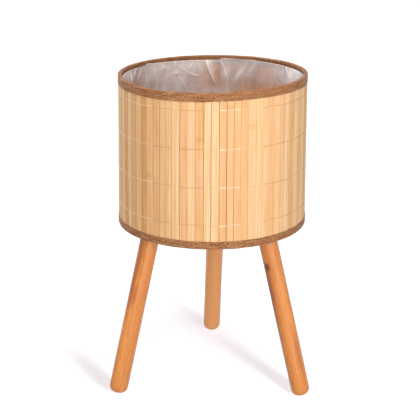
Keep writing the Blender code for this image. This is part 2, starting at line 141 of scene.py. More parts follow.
# Stretches of the wall, as two bearings and a value: where slats are deeper, where they differ less, where the
# joints' painted shade is darker and where the thread has the side lamp's painted reflection. Slats differ most
# beyond one bearing on both sides.
DEEPER_STRETCHES = [(-48, -5, 0.2), (5, 34, 0.16)]
CALM_STRETCH = (-120, -55, 0.5)
DARK_JOINTS = [(-181, -45, 1.1), (48, 181, 1.2)]
SIDE_GLINT_STRETCH = (-181, -32, 0.4)
SIDES, SIDE_CONTRAST = 45, 0.22
# Between two bearings the thread is painted pale as the key lamp's highlight, with edges this soft in degrees.
KEY_GLINT_BEARINGS = (5.0, 31.0, 4.0)
# Joints are wide up to this bearing. Beyond it the power makes most of them tight, and their painted shade
# is fainter.
OPEN_SIDE, TIGHT_POWER, TIGHT_SHADE = 22, 2.5, 0.4
# How finely a slat is divided, how often its edges waver, and how close to them its points lie and it falls.
SLAT_DIVISIONS = {"Vertices_X": 8, "Vertices_Y": 2, "Vertices_Z": 16}
SLAT_WAVES = 2.2
EDGE_SPREAD = 0.35
EDGE_SHARPNESS = 16.0
# A thread's points on each slat, how sharply it dips at its ends, and how far it wanders over what length.
THREAD_STEPS = 10
THREAD_SHARPNESS = 10.0
THREAD_WANDER, THREAD_WANDER_LENGTH = 0.0014, 0.03

# Film: columns every so many degrees where the photograph sees it and elsewhere, and rows down the wall.
SEEN_BEARING = 88
SEEN_STEP = 0.4
HIDDEN_STEP = 1.3
SEEN_DEPTH = 0.045
SEEN_ROW = 0.0012
HIDDEN_ROWS = 26
FLOOR_ROWS = 9
FILM_CORNER = 0.014
FILM_CORNER_ROWS = 5
FILM_SEED = 5
# Folds that hang down the bag and small creases all over it, and what each draws from a range: slant in degrees,
# start, end over the bag's foot, reach, width and share of the usual rise. A crease whitens the film a little,
# as stretched film and as a painted highlight along it, and hanging folds fade at both ends.
HANGING_FOLDS, CREASES = 34, 150
HANG_SLANT, HANG_START, HANG_END = (-9, 9), (0.0, 0.06), (0.0, 0.05)
HANG_WIDTH, HANG_SHARE = (0.005, 0.012), (0.25, 1.0)
CREASE_REACH, CREASE_WIDTH, CREASE_SHARE = (0.008, 0.035), (0.0008, 0.002), (0.5, 1.5)
CREASE_WHITENING = 0.2
HANG_TOP_FADE, HANG_FOOT_FADE = 0.03, 0.04
# How sharp the crest of any fold is, and where on a sine's half wave its line starts.
CREST_POWER = 1.2
FOLD_END = 0.05

# The film bag hangs turned by this much. Bearings on it are degrees from its own back, towards its right.
FILM_TURN = math.radians(-3.1)

# Folds that the photograph shows in the film's back half: where each starts and ends, as a bearing and a
# depth under the film's edge, how wide its crest is and how far it stands in. One of the full rise whitens fully,
# as folded film and as a painted highlight along its crest.
FULL_RISE = 0.0018
FILM_FOLDS = [
    Fold(-28.0, 0.001, -27.4, 0.008, 0.0008, 0.0016),
    Fold(-27.2, 0.013, -26.0, 0.020, 0.0009, 0.0020),
    Fold(-26.0, 0.020, -20.4, 0.038, 0.0008, 0.0013),
    Fold(-26.0, 0.006, -18.0, 0.0185, 0.0007, 0.0010),
    Fold(-18.0, 0.0185, -10.5, 0.0235, 0.0007, 0.0013),
    Fold(-31.0, 0.017, -24.0, 0.0165, 0.0009, 0.0009),
    Fold(-44.5, 0.006, -42.5, 0.022, 0.0016, 0.0010),
    Fold(-36.5, 0.004, -39.0, 0.014, 0.0016, 0.0007),
    Fold(-13.0, 0.001, -9.5, 0.016, 0.0012, 0.0009),
    Fold(3.6, 0.003, 6.2, 0.013, 0.0010, 0.0020),
    Fold(6.2, 0.013, 8.4, 0.030, 0.0011, 0.0018),
    Fold(8.4, 0.030, 8.8, 0.050, 0.0011, 0.0012),
    Fold(21.5, 0.006, 12.0, 0.035, 0.0038, 0.0016),
    Fold(29.0, 0.002, 22.0, 0.022, 0.0030, 0.0009),
    Fold(55.0, 0.0, 60.0, 0.018, 0.0010, 0.0026),
    Fold(59.0, 0.0, 62.5, 0.022, 0.0010, 0.0030),
    Fold(63.5, 0.001, 65.0, 0.020, 0.0009, 0.0030),
    Fold(67.5, 0.0, 68.0, 0.022, 0.0009, 0.0034),
    Fold(72.0, 0.001, 71.0, 0.024, 0.0010, 0.0030),
    Fold(77.0, 0.0, 74.5, 0.022, 0.0012, 0.0030),
    Fold(-56.0, 0.004, -60.0, 0.018, 0.0012, 0.0016),
    Fold(-62.0, 0.001, -66.0, 0.014, 0.0011, 0.0018),
    Fold(-69.0, 0.002, -67.0, 0.020, 0.0012, 0.0020),
    Fold(-84.0, 0.0, -78.0, 0.016, 0.0024, 0.0040),
    Fold(-40.0, 0.002, -33.0, 0.012, 0.0010, 0.0012),
    Fold(-14.5, 0.002, -17.5, 0.012, 0.0010, 0.0012),
]
# Broad patches where the film hides more, or less where that is negative: the middle of each, its half width
# in degrees, its half height and how much.
VEILS = [
    Veil(-38.0, 0.008, 16.0, 0.030, 0.20),
    Veil(-16.0, 0.004, 8.0, 0.012, 0.30),
    Veil(-9.5, 0.022, 4.0, 0.016, -0.10),
    Veil(1.5, 0.018, 3.0, 0.014, -0.14),
    Veil(-26.0, 0.042, 18.0, 0.020, 0.34),
    Veil(2.0, 0.046, 12.0, 0.008, 0.15),
    Veil(16.0, 0.012, 10.0, 0.012, 0.04),
    Veil(36.0, 0.036, 24.0, 0.018, -0.16),
    Veil(-3.0, 0.030, 5.0, 0.014, -0.10),
    Veil(20.0, 0.008, 14.0, 0.014, -0.14),
    # These two whiten the crumpled sides as their painted highlights.
    Veil(70.0, 0.010, 14.0, 0.030, 1.2),
    Veil(-79.0, 0.006, 9.0, 0.020, 1.3),
    Veil(8.0, 0.020, 2.5, 0.022, 0.25),
]
# The pleat that hangs down like a tongue: its sides' bearings at the film's edge, and its tip. Its left side is
# bowed, it reaches a little past both sides, and its face slopes from left to right.
TONGUE_LEFT, TONGUE_RIGHT, TONGUE_TIP = -6.4, -2.0, 0.6
TONGUE_DEPTH = 0.037
TONGUE_RISE = 0.0045
TONGUE_HAZE = 0.85
TONGUE_BOW, TONGUE_BORDER, TONGUE_SLOPE = 1.4, 0.3, 0.7
# Panels that lap over the rest: their two bearings and how far their edge stands over the film's at each.
LAPS = [(-52.3, 0.0032, -44.0, 0.0014), (-44.9, 0.0015, -8.0, 0.0), (3.3, 0.0030, 54.0, 0.0007)]
LAP_DEPTH = 0.034
LAP_FADE = 0.012
LAP_RISE = 0.0007
LAP_SOFTNESS = 0.45
EDGE_LEAN, EDGE_LEAN_DEPTH, EDGE_DEPTH = 0.0008, 0.004, 0.010
# Crumpled stretches at the film's two sides, and how deep they reach and fade.
CRUMPLES = [(-84.0, -66.0), (54.0, 84.0)]
CRUMPLE_DEPTH, CRUMPLE_FADE, CRUMPLE_SOFTNESS = 0.03, 0.02, 4
# How much more the film hides at its very edge, and more there at the sides as a painted highlight of the edge,
# and in a second layer, a crumple or near its top, and how much it hides at most.
BORDER_DEPTH, BORDER_HAZE, SIDE_BORDER_GLINT, BORDER_SIDES = 0.0022, 0.16, 0.5, 60
LAYER_HAZE = 0.1
TOP_HAZE_DEPTH = 0.05
MOST_HAZE = 0.97

# Legs: how finely each is divided, how far its side strays, how pale each one's stain is, the back leg's both as
# a faded stain and as painted light that lifts it out of the drum's shade, and the dark knot and deeper streaks,
# as a leg's number, a turn about its axis, a height above its foot, a width, a length and how deep the stain
# goes.
LEG_STEPS = 64
LEG_ROWS = 36
LEG_UNEVENNESS, LEG_WAVE = 0.00008, 0.03
LEG_FADES_AND_LIGHT = (0.55, 0.0, 0.0)
STAINS = [
    Stain(2, -103, 0.1880, 0.0064, 0.0088, 1.0),
    Stain(2, -108, 0.160, 0.0060, 0.045, 0.45),
    Stain(2, -126, 0.140, 0.0056, 0.070, 0.4),
    Stain(2, -20, 0.060, 0.0040, 0.050, 0.3),
    Stain(1, 22, 0.190, 0.0046, 0.034, 0.4),
    Stain(1, 8, 0.155, 0.0062, 0.050, 0.5),
    Stain(1, 38, 0.140, 0.0030, 0.024, 0.4),
    Stain(0, -60, 0.120, 0.0040, 0.060, 0.3),
]
# Each leg reads its own metre of the grain.
GRAIN_OFFSET = 1.0

# A screw's cross recess, as the reach and width of its arms in radii of the head.
CROSS_REACH, CROSS_WIDTH = 1.05, 0.24

# The photograph's camera: where it stands from the drum's axis and how it is turned.
CAMERA_DISTANCE = 1.451
CAMERA_HEIGHT = 0.71856
CAMERA_BEARING = 4.612
CAMERA_HEADING = 0.086
CAMERA_PITCH = 18.225
CAMERA_ROLL = 0.468
CAMERA_LENS = 95.98

# Lamps: what light linking does with the floor, and each one's side and place from the drum's axis. The first
# one throws the floor's shadows, and the others light only the pot.
LAMPS = [
    Lamp("shadow", "INCLUDE", 0.28, 1.5, 36, 0.48),
    Lamp("key", "EXCLUDE", 0.4, 1.5, 40, 0.45),
    Lamp("front", "EXCLUDE", 1.2, 1.8, 8, 0.8),
    Lamp("side", "EXCLUDE", 0.8, 1.3, -112, 1.4),
    Lamp("top", "EXCLUDE", 1.6, 0.5, -30, 2.1),
]

# The floor grows plain white, a little over what clips, between these two distances from the origin, so that
# only the legs' shadows show on it.
FLOOR_NEAR = 0.15
FLOOR_FAR = 0.285
FLOOR_WHITE = 1.06
FLOOR_REACH = 4.0


def colour(code):
    """An sRGB hex colour in Blender's linear RGB."""
    parts = [int(code[start : start + 2], 16) / 255 for start in (1, 3, 5)]
    return [part / 12.92 if part <= 0.04045 else ((part + 0.055) / 1.055) ** 2.4 for part in parts]


def toned(rgb, share):
    """A colour made darker or lighter."""
    return [min(1.0, part * share) for part in rgb]


def number(name, description, default, **fitting):
    return FloatProperty(name=name, description=description, default=default, **fitting)


def tint(name, description, code):
    return FloatVectorProperty(name=name, description=description, default=colour(code), subtype="COLOR")


length = partial(number, unit="LENGTH")
factor = partial(number, subtype="FACTOR")
power = partial(number, unit="POWER")


class DrumLook(bpy.types.PropertyGroup):
    slat_rounding: length("Slat Rounding", "How far a slat's long edges fall away", 0.00035)
    slat_crown: length("Slat Crown", "How far a slat's face swells at its middle", 0.00015)
    slat_waver: length("Slat Waver", "How far a slat's edges stray from straight", 0.0005)
    least_joint: length("Least Joint", "The tightest gap between two slats", 0.00003)
    widest_joint: length("Widest Joint", "The widest gap between two slats", 0.0003)
    thread_width: length("Thread Width", "Width of the flat pair of threads", 0.0009)
    thread_dip: length("Thread Dip", "How deep a thread dips between slats", 0.0007)
    pale_bamboo: tint("Pale Bamboo", "The palest slats", "#F2CC9D")
    deep_bamboo: tint("Deep Bamboo", "The deepest slats", "#D89B60")
    warm_bamboo: tint("Warm Bamboo", "Tinge of the warmer slats", "#E6AA74")
    node_scar: tint("Node Scar", "Stain at a bamboo node", "#C98A4A")
    thread: tint("Thread", "Nylon thread across the slats", "#C08B52")
    # Colour of the thread's painted highlight, where the lamps glint on it.
    thread_rubbed: tint("Thread Glint", "Thread on the drum's front", "#FFF4DC")
    tape_light: tint("Tape Light", "Light yarns of the tape", "#C99263")
    tape_dark: tint("Tape Dark", "Dark yarns of the tape", "#683720")
    cloth: tint("Cloth", "Cloth behind the slats", "#CF9F83")
    base_wood: tint("Base Wood", "Plywood of the base disc", "#D2AE7E")


class LinerLook(bpy.types.PropertyGroup):
    thickness: length("Film Thickness", "Thickness of the film, drawn thick", 0.00012)
    sag: length("Sag", "How far the hanging folds stand in", 0.005)
    crinkle: length("Crinkle", "How far small creases stand in", 0.0004)
    milk: tint("Milk", "Colour of the film's haze", "#F8EFEC")
    cream: tint("Cream", "Colour of the thicker tongue", "#F7E3CC")
    clear_haze: factor("Clear Haze", "How much the flat film hides", 0.15)
    crease_haze: factor("Crease Haze", "How much more a sharp crease hides", 0.5)


class LegLook(bpy.types.PropertyGroup):
    stain_light: tint("Light Stain", "Stain on the early wood", "#E19349")
    stain_deep: tint("Deep Stain", "Stain on the late wood", "#AE571F")
    # The back leg's paler stain is partly a faded stain and partly painted light where the drum shades it.
    stain_faded: tint("Faded Stain", "Stain on the paler leg", "#FFB676")
    knot: tint("Knot", "The dark heart of a knot", "#7A2C12")
    varnish_roughness: factor("Varnish Roughness", "Roughness of the satin varnish", 0.4)
    plate_edge: length("Plate Edge", "Rounding of the steel plates' edges", 0.0003)
    screw_recess: length("Screw Recess", "Depth of the cross recess", 0.0013)
    zinc: tint("Zinc", "Zinc plating", "#B9BCC0")


class StudioLook(bpy.types.PropertyGroup):
    shadow_power: power("Shadow Power", "Soft box that lights only the floor", 36.0)
    key_power: power("Key Power", "Small soft box at the front right", 7.4)
    front_power: power("Front Power", "Wide soft box behind the camera", 23.5)
    side_power: power("Side Power", "Soft box behind the pot's left", 12.5)
    top_power: power("Top Power", "Wide soft box overhead", 24.0)
    room: number("Room Light", "Even light from the white room", 0.075)
    floor_bounce: number("Floor Bounce", "Light that the floor sends back up", 0.4)
    floor_glow: number("Floor Glow", "How white the floor's shadows stay", 0.77)
    floor_tint: tint("Floor Tint", "Tinge of the floor's shadows", "#FFFAFF")
    floor_shade: number("Floor Shade", "How strongly shadows show on the floor", 0.6)


def fill(node, *values, **named):
    """Fills a node's inputs in order and by name, each with a value or with another node's first output."""
    for place, value in [*enumerate(values), *named.items()]:
        if isinstance(place, str):
            name = place.replace("_", " ")
            place = next(at for at, socket in enumerate(node.inputs) if socket.enabled and socket.name == name)
        socket = node.inputs[place]
        if isinstance(value, bpy.types.Node):
            value = next(output for output in value.outputs if output.enabled)
        if isinstance(value, bpy.types.NodeSocket):
            node.id_data.links.new(value, socket)
        else:
            socket.default_value = (*value, 1.0) if socket.type == "RGBA" else value


def add_node(tree, kind, *values, **named):
    """Adds a node, by the end of its type's name. A name in lower case sets one of its properties, and all
    else fills its inputs."""
    fronts = (tree.bl_idname.removesuffix("Tree"), "ShaderNode", "Node")
    node = tree.nodes.new(next(front + kind for front in fronts if hasattr(bpy.types, front + kind)))
    for name in [name for name in named if name.islower()]:
        setattr(node, name, named.pop(name))
    fill(node, *values, **named)
    return node


def new_finish(name, **inputs):
    """A material with one Principled shader, whose even values go straight on its sockets."""
    material = bpy.data.materials.new(name)
    material.use_nodes = True
    shader = material.node_tree.nodes["Principled BSDF"]
    fill(shader, **inputs)
    return material, partial(add_node, material.node_tree), shader


def split_bamboo(look):
    """Bamboo split into slats and planed, its skin side out: satin, with long fibres and slats of unlike tint,
    and here and there the stained scar of a node. It gives the wall its striped, warm surface."""
    material, add, shader = new_finish("split_bamboo", IOR=1.52, Specular_IOR_Level=0.2)
    place = add("Attribute", attribute_name="slat_place").outputs["Vector"]
    carried = ("tone", "warmth", "edge", "scar")
    tone, warmth, edge, scar_height = [add("Attribute", attribute_name=name).outputs["Fac"] for name in carried]
    # Fibre bundles are about 0.3 mm wide. They are drawn 0.7 mm wide and 70 mm long, so that they show.
    fibre_place = add("VectorMath", place, (1 / 0.0007, 9.0, 1 / 0.07), operation="MULTIPLY")
    fibres = add("TexNoise", fibre_place, Scale=1.0, Detail=3.0)
    # Browner streaks where the split runs through the skin are about 1.8 mm wide and 0.2 m long.
    streak_place = add("VectorMath", place, (1 / 0.0018, 7.0, 1 / 0.2), operation="MULTIPLY")
    streaks = add("TexNoise", streak_place, Scale=1.0, Detail=2.0)
    # The tint drifts along a slat over about 60 mm and across it over about 6 mm.
    drift_place = add("VectorMath", place, (1 / 0.006, 5.0, 1 / 0.06), operation="MULTIPLY")
    drift = add("TexNoise", drift_place, Scale=1.0, Detail=2.0)
    drift_part = add("MapRange", drift, To_Min=-0.35, To_Max=0.35)
    streak_part = add("MapRange", streaks, From_Min=0.35, From_Max=0.7, To_Min=-0.2, To_Max=0.4)
    strayed = add("Math", drift_part, streak_part, operation="ADD")
    depth = add("Math", tone, strayed, operation="ADD", use_clamp=True)
    tinted = add("Mix", depth, A=look.pale_bamboo, B=look.deep_bamboo, data_type="RGBA")
    warmed = add("Mix", warmth, A=tinted, B=look.warm_bamboo, data_type="RGBA")
    fibre_shade = add("MapRange", fibres, From_Min=0.3, From_Max=0.7, To_Min=0.92, To_Max=1.05)
    # Painted shade in the joints: a slat darkens along its long edges, the more so where its joint is open.
    edge_shade = add("MapRange", edge, From_Min=0.15, To_Min=1.0, To_Max=0.5)
    shade = add("Math", fibre_shade, edge_shade, operation="MULTIPLY")
    shaded = add("VectorMath", warmed, Scale=shade, operation="SCALE")
    # A node's scar is a ragged blotch that fades out about 5 mm above and below it.
    height = add("SeparateXYZ", place).outputs["Z"]
    from_scar = add("Math", height, scar_height, operation="SUBTRACT")
    away = add("Math", from_scar, operation="ABSOLUTE")
    limits = {"From_Min": 0.0005, "From_Max": 0.0055, "To_Min": 0.6, "To_Max": 0.0}
    blotch = add("MapRange", away, **limits, interpolation_type="SMOOTHSTEP")
    patch_place = add("VectorMath", place, (1 / 0.0022, 3.0, 1 / 0.0022), operation="MULTIPLY")
    patches = add("TexNoise", patch_place, Scale=1.0, Detail=2.0)
    patch = add("MapRange", patches, From_Min=0.35, From_Max=0.65)
    scar = add("Math", blotch, patch, operation="MULTIPLY")
    scarred = add("Mix", scar, A=shaded, B=look.node_scar, data_type="RGBA")
    gloss = add("MapRange", fibres, To_Min=0.6, To_Max=0.8)
    relief = add("Bump", Height=fibres, Strength=0.35, Distance=0.00012)
    fill(shader, Base_Color=scarred, Roughness=gloss, Normal=relief)
    return material


def nylon_thread(look):
    """Amber nylon monofilament, drawn and left glossy: a thin brown line, painted pale on the drum's front as
    the key lamp's highlight and on its left as the side lamp's reflection."""
    material, add, shader = new_finish("nylon_monofilament", IOR=1.53)
    place = add("TexCoord").outputs["Object"]
    # Where the thread is painted pale as a highlight of the lamps.
    glint_share = add("Attribute", attribute_name="pale").outputs["Fac"]
    # The draw leaves the tint uneven over about 5 mm.
    uneven = add("TexNoise", place, Scale=1 / 0.005, Detail=1.0)
    drawn = add("Mix", uneven, A=look.thread, B=toned(look.thread, 1.35), data_type="RGBA")
    glinted = add("Mix", glint_share, A=drawn, B=look.thread_rubbed, data_type="RGBA")
    gloss = add("MapRange", uneven, To_Min=0.15, To_Max=0.3)
    fill(shader, Base_Color=glinted, Roughness=gloss)
    return material


def woven_tape(look):
    """Plain-woven cotton tape of mixed brown yarns: matt and mottled, with pale flecks where light yarns
    come up, and a fuzz that pales it where it turns away."""
    material, add, shader = new_finish(
        "woven_cotton_tape", IOR=1.46, Specular_IOR_Level=0.2, Sheen_Weight=0.2, Sheen_Roughness=0.35
    )
    place = add("UVMap", uv_map="surface")
    # Yarns lie 0.5 mm apart. They are drawn 1.9 mm apart, so that the weave shows.
    yarns = add("VectorMath", place, Scale=math.pi / 0.0019, operation="SCALE")
    split = add("SeparateXYZ", yarns).outputs
    warp, weft = [add("Math", split[axis], operation="SINE") for axis in "XY"]
    weave = add("Math", warp, weft, operation="MULTIPLY")
    # A yarn keeps its tint for about 12 mm, and its slubs are about 1 mm long. Both are drawn coarser.
    streak_place = add("VectorMath", place, (1 / 0.02, 1 / 0.002, 1.0), operation="MULTIPLY")
    streaks = add("TexNoise", streak_place, Scale=1.0, Detail=2.0)
    flecks = add("TexNoise", place, Scale=1 / 0.0022, Detail=2.0)
    fleck_part = add("MapRange", flecks, From_Min=0.35, From_Max=0.65, To_Min=-0.28, To_Max=0.28)
    streak_part = add("MapRange", streaks, From_Min=0.3, From_Max=0.7, To_Min=0.2, To_Max=0.7)
    mottle = add("Math", fleck_part, streak_part, operation="ADD")
    lift = add("Math", weave, 0.22, mottle, operation="MULTIPLY_ADD", use_clamp=True)
    dyed = add("Mix", lift, A=look.tape_dark, B=look.tape_light, data_type="RGBA")
    rough = add("MapRange", flecks, To_Min=0.95, To_Max=0.8)
    relief = add("Bump", Height=lift, Strength=0.6, Distance=0.0003)
    fill(shader, Base_Color=dyed, Roughness=rough, Normal=relief)
    return material


def spunbond_cloth(look):
    """Spun-bonded polypropylene cloth, brown and thin: matt, with a faint pattern of bonding points and
    darker tufts. It is what colours the inside of the drum."""
    material, add, shader = new_finish("spunbond_cloth", Roughness=0.9, IOR=1.49)
    place = add("UVMap", uv_map="surface")
    # Fibres clump over about 3 mm, in bands about 9 mm wide behind the slats.
    clumps = add("TexNoise", place, Scale=1 / 0.003, Detail=3.0)
    band_place = add("VectorMath", place, (1 / 0.009, 1 / 0.3, 1.0), operation="MULTIPLY")
    bands = add("TexNoise", band_place, Scale=1.0, Detail=1.0)
    mixed = add("Math", clumps, 0.35, bands, operation="MULTIPLY_ADD")
    depth = add("MapRange", mixed, From_Min=0.42, From_Max=0.92)
    tufted = add("Mix", depth, A=toned(look.cloth, 0.8), B=toned(look.cloth, 1.3), data_type="RGBA")
    # Bonding points are 1.2 mm apart.
    bonds = add("TexVoronoi", place, Scale=1 / 0.0012, Randomness=0.15)
    relief = add("Bump", Height=bonds, Strength=0.4, Distance=0.0001)
    fill(shader, Base_Color=tufted, Normal=relief)
    return material


def polyethylene_film(look):
    """Blown polyethylene film, clear and slightly milky: it hides little where it lies flat and whitens along its
    creases, where it is stretched and lies in layers, and where the whitening also paints their highlights."""
    material, add, shader = new_finish("polyethylene_film", IOR=1.51)
    place = add("TexCoord").outputs["Object"]
    haze, cream = [add("Attribute", attribute_name=name).outputs["Fac"] for name in ("haze", "cream")]
    # Cloudy patches are about 20 mm across and small wrinkles about 5 mm.
    clouds = add("TexNoise", place, Scale=1 / 0.02, Detail=3.0)
    wrinkles = add("TexNoise", place, Scale=1 / 0.005, Detail=3.0, Distortion=0.8)
    cloud_part = add("MapRange", clouds, From_Min=0.35, From_Max=0.65, To_Min=0.75, To_Max=1.25)
    hidden = add("Math", haze, cloud_part, operation="MULTIPLY", use_clamp=True)
    creamed = add("Mix", cream, A=look.milk, B=look.cream, data_type="RGBA")
    gloss = add("MapRange", clouds, To_Min=0.25, To_Max=0.4)
    relief = add("Bump", Height=wrinkles, Strength=0.2, Distance=0.0006)
    fill(shader, Base_Color=creamed, Alpha=hidden, Roughness=gloss, Normal=relief)
    return material


def adhesive_strip(look):
    """Clear double-sided adhesive strip: a pale, slightly frosted band behind the film's edge."""
    material, add, shader = new_finish("adhesive_strip", Base_Color=look.milk, IOR=1.48)
    # Air trapped under the strip lies in patches about 5 mm long.
    bubbles = add("TexNoise", add("TexCoord").outputs["Object"], Scale=1 / 0.005, Detail=2.0)
    hidden = add("MapRange", bubbles, To_Min=0.1, To_Max=0.5)
    rough = add("MapRange", bubbles, To_Min=0.3, To_Max=0.6)
    fill(shader, Alpha=hidden, Roughness=rough)
    return material


def rotary_plywood(look):
    """Rotary-cut poplar plywood, sanded and left bare: broad pale figure along X, and plies at its edge."""
    material, add, shader = new_finish("rotary_cut_plywood", IOR=1.5)
    place = add("TexCoord").outputs["Object"]
    # The figure is about 60 mm long and 7 mm wide, and a ply is 1.5 mm thick.
    figure_place = add("VectorMath", place, (1 / 0.06, 1 / 0.007, 1 / 0.0015), operation="MULTIPLY")
    figure = add("TexNoise", figure_place, Scale=1.0, Detail=4.0, Distortion=0.6)
    # Pores are 4 mm long and 0.4 mm wide.
    pore_place = add("VectorMath", place, (1 / 0.004, 1 / 0.0004, 1.0), operation="MULTIPLY")
    pores = add("TexNoise", pore_place, Scale=1.0, Detail=2.0)
    depth = add("MapRange", figure, From_Min=0.4, From_Max=0.7, To_Max=0.8)
    figured = add("Mix", depth, A=look.base_wood, B=toned(look.base_wood, 0.62), data_type="RGBA")
    rough = add("MapRange", pores, To_Min=0.6, To_Max=0.85)
    relief = add("Bump", Height=pores, Strength=0.3, Distance=0.0001)
    fill(shader, Base_Color=figured, Roughness=rough, Normal=relief)
    return material


def stained_dowel(look):
    """Rubberwood dowel, turned, stained honey and given a satin varnish: long streaks of deeper stain, soft
    growth figure, and dark knots and streaks here and there."""
    material, add, shader = new_finish("stained_dowel", IOR=1.5)
    place = add("Attribute", attribute_name="grain").outputs["Vector"]
    # Growth rings are about 2.5 mm apart, bent over about 50 mm, so that they draw long tapering figures.
    bend_place = add("VectorMath", place, (1 / 0.02, 1 / 0.02, 1 / 0.05), operation="MULTIPLY")
    bend = add("TexNoise", bend_place, Scale=1.0, Detail=2.0).outputs["Color"]
    ring_place = add("VectorMath", place, (1 / 0.0025, 1 / 0.006, 1 / 0.12), operation="MULTIPLY")
    bent = add("VectorMath", bend, (2.5, 2.5, 0.5), ring_place, operation="MULTIPLY_ADD")
    rings = add("TexNoise", bent, Scale=1.0, Detail=3.0)
    # Pores are streaks 8 mm long, drawn 0.7 mm wide, which is wider than real, so that they show.
    pore_place = add("VectorMath", place, (1 / 0.0007, 1 / 0.0007, 1 / 0.008), operation="MULTIPLY")
    pores = add("TexNoise", pore_place, Scale=1.0, Detail=2.0)
    ring_part = add("MapRange", rings, From_Min=0.3, From_Max=0.7)
    pore_part = add("MapRange", pores, From_Min=0.35, From_Max=0.7, To_Min=-0.1, To_Max=0.25)
    depth = add("Math", ring_part, 0.5, pore_part, operation="MULTIPLY_ADD", use_clamp=True)
    stain = add("Mix", depth, A=look.stain_light, B=look.stain_deep, data_type="RGBA")
    # How pale the stain is painted: faded, and on the back leg painted light as well.
    fade = add("Attribute", attribute_name="fade").outputs["Fac"]
    shown = add("Mix", fade, A=stain, B=look.stain_faded, data_type="RGBA")
    # A knot or streak is an ellipsoid in the grain, its edge made ragged by the pores.
    for mark in STAINS:
        squash = mark.width / mark.length
        middle = stain_place(mark)
        middle.z *= squash
        squashed = add("VectorMath", place, (1.0, 1.0, squash), operation="MULTIPLY")
        away = add("VectorMath", squashed, middle, operation="DISTANCE")
        ragged = add("Math", pores, mark.width * 0.8, away, operation="MULTIPLY_ADD")
        limits = {"From_Min": mark.width * 0.6, "From_Max": mark.width * 1.5}
        dark = add("MapRange", ragged, **limits, To_Min=mark.depth, To_Max=0.0, interpolation_type="SMOOTHERSTEP")
        shown = add("Mix", dark, A=shown, B=look.knot, data_type="RGBA")
    rough = add("MapRange", pores, To_Min=look.varnish_roughness - 0.08, To_Max=look.varnish_roughness + 0.1)
    relief = add("Bump", Height=pores, Strength=0.2, Distance=0.00012)
    fill(shader, Base_Color=shown, Roughness=rough, Normal=relief)
    return material


def zinc_plating(name, look, dullness):
    """Zinc-plated steel, pressed or rolled and tumbled: a grey metal, cloudy over a few millimetres."""
    material, add, shader = new_finish(name, Metallic=1.0)
    place = add("TexCoord").outputs["Object"]
    # Plating clouds are about 4 mm across, and tumbling marks 0.3 mm.
    clouds = add("TexNoise", place, Scale=1 / 0.004, Detail=2.0)
    marks = add("TexNoise", place, Scale=1 / 0.0003, Detail=1.0)
    clouded = add("Mix", clouds, A=look.zinc, B=toned(look.zinc, 0.8), data_type="RGBA")
    rough = add("MapRange", clouds, To_Min=dullness - 0.1, To_Max=dullness + 0.1)
    relief = add("Bump", Height=marks, Strength=0.15, Distance=0.00005)
    fill(shader, Base_Color=clouded, Roughness=rough, Normal=relief)
    return material


def cleared_tree(owner):
    """What adds nodes to the emptied tree of a material or of the world."""
    owner.use_nodes = True
    owner.node_tree.nodes.clear()
    return partial(add_node, owner.node_tree)


def seen_directly(add):
    """1 for rays that come from the camera, from a mirror or through the film, and 0 for light that bounces."""
    path = add("LightPath").outputs
    seen = add("Math", path["Is Camera Ray"], path["Is Glossy Ray"], operation="MAXIMUM")
    return add("Math", seen, path["Is Transmission Ray"], operation="MAXIMUM")


def studio_floor(look):
    """Matt white card, there from above only. What is seen of it is white apart from the pot's shadow, and the
    light that it sends back up is even."""
    material = bpy.data.materials.new("white_card")
    add = cleared_tree(material)
    place = add("TexCoord").outputs["Object"]
    # The card's grain is drawn 50 mm wide and shows only in the light that it sends back.
    grain = add("TexNoise", place, Scale=1 / 0.05)
    even = add("MapRange", grain, To_Min=look.floor_bounce * 0.99, To_Max=look.floor_bounce * 1.01)
    sent_back = add("Emission", Strength=even)
    shade = add("BsdfDiffuse", Color=[look.floor_shade] * 3)
    limits = {"From_Min": FLOOR_NEAR, "From_Max": FLOOR_FAR, "To_Min": look.floor_glow, "To_Max": FLOOR_WHITE}
    distance = add("VectorMath", place, operation="LENGTH")
    brightness = add("MapRange", distance, **limits, interpolation_type="SMOOTHSTEP")
    glow = add("Emission", Color=look.floor_tint, Strength=brightness)
    lit = add("AddShader", shade, glow)
    shown = add("MixShader", seen_directly(add), sent_back, lit)
    one_sided = add("MixShader", add("NewGeometry").outputs["Backfacing"], shown, add("BsdfTransparent"))
    add("OutputMaterial", one_sided)
    return material


def linked(name, data):
    """A new object in the scene."""
    thing = bpy.data.objects.new(name, data)
    bpy.context.scene.collection.objects.link(thing)
    return thing


def in_scene(name, mesh, *finishes):
    """Puts a finished mesh in the scene as a piece that rides on the frame's one body."""
    for finish in finishes:
        mesh.materials.append(finish)
    piece = linked(name, mesh)
    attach(piece, "root")
    return piece


def stands_for(piece, slot, *nodes):
    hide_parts(*nodes)


def repaint(finish, *nodes):
    """Gives CAD nodes that keep their own shape a finish."""
    for name in nodes:
        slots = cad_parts[name].data.materials
        slots.clear()
        slots.append(finish)


def shade(mesh, sharp_angle):
    """Shades a mesh smooth, apart from edges that turn by more than an angle in degrees."""
    mesh.shade_smooth()
    mesh.set_sharp_from_angle(angle=math.radians(sharp_angle))


def taken_mesh(bm, name):
    """The plain mesh that a bmesh holds."""
    mesh = bpy.data.meshes.new(name)
    bm.to_mesh(mesh)
    bm.free()
    return mesh


def plain_mesh(name, thing):
    """The plain mesh that an object's modifiers make of it, in the object's stead."""
    graph = bpy.context.evaluated_depsgraph_get()
    mesh = bpy.data.meshes.new_from_object(thing.evaluated_get(graph))
    mesh.name = name
    bpy.data.objects.remove(thing)
    return mesh


def carry(mesh, name, values):
    """Puts a number or a vector on each point of a mesh."""
    values = np.array(values, np.float32)
    kind, field = ("FLOAT", "value") if values.ndim == 1 else ("FLOAT_VECTOR", "vector")
    mesh.attributes.new(name, kind, "POINT").data.foreach_set(field, values.ravel())


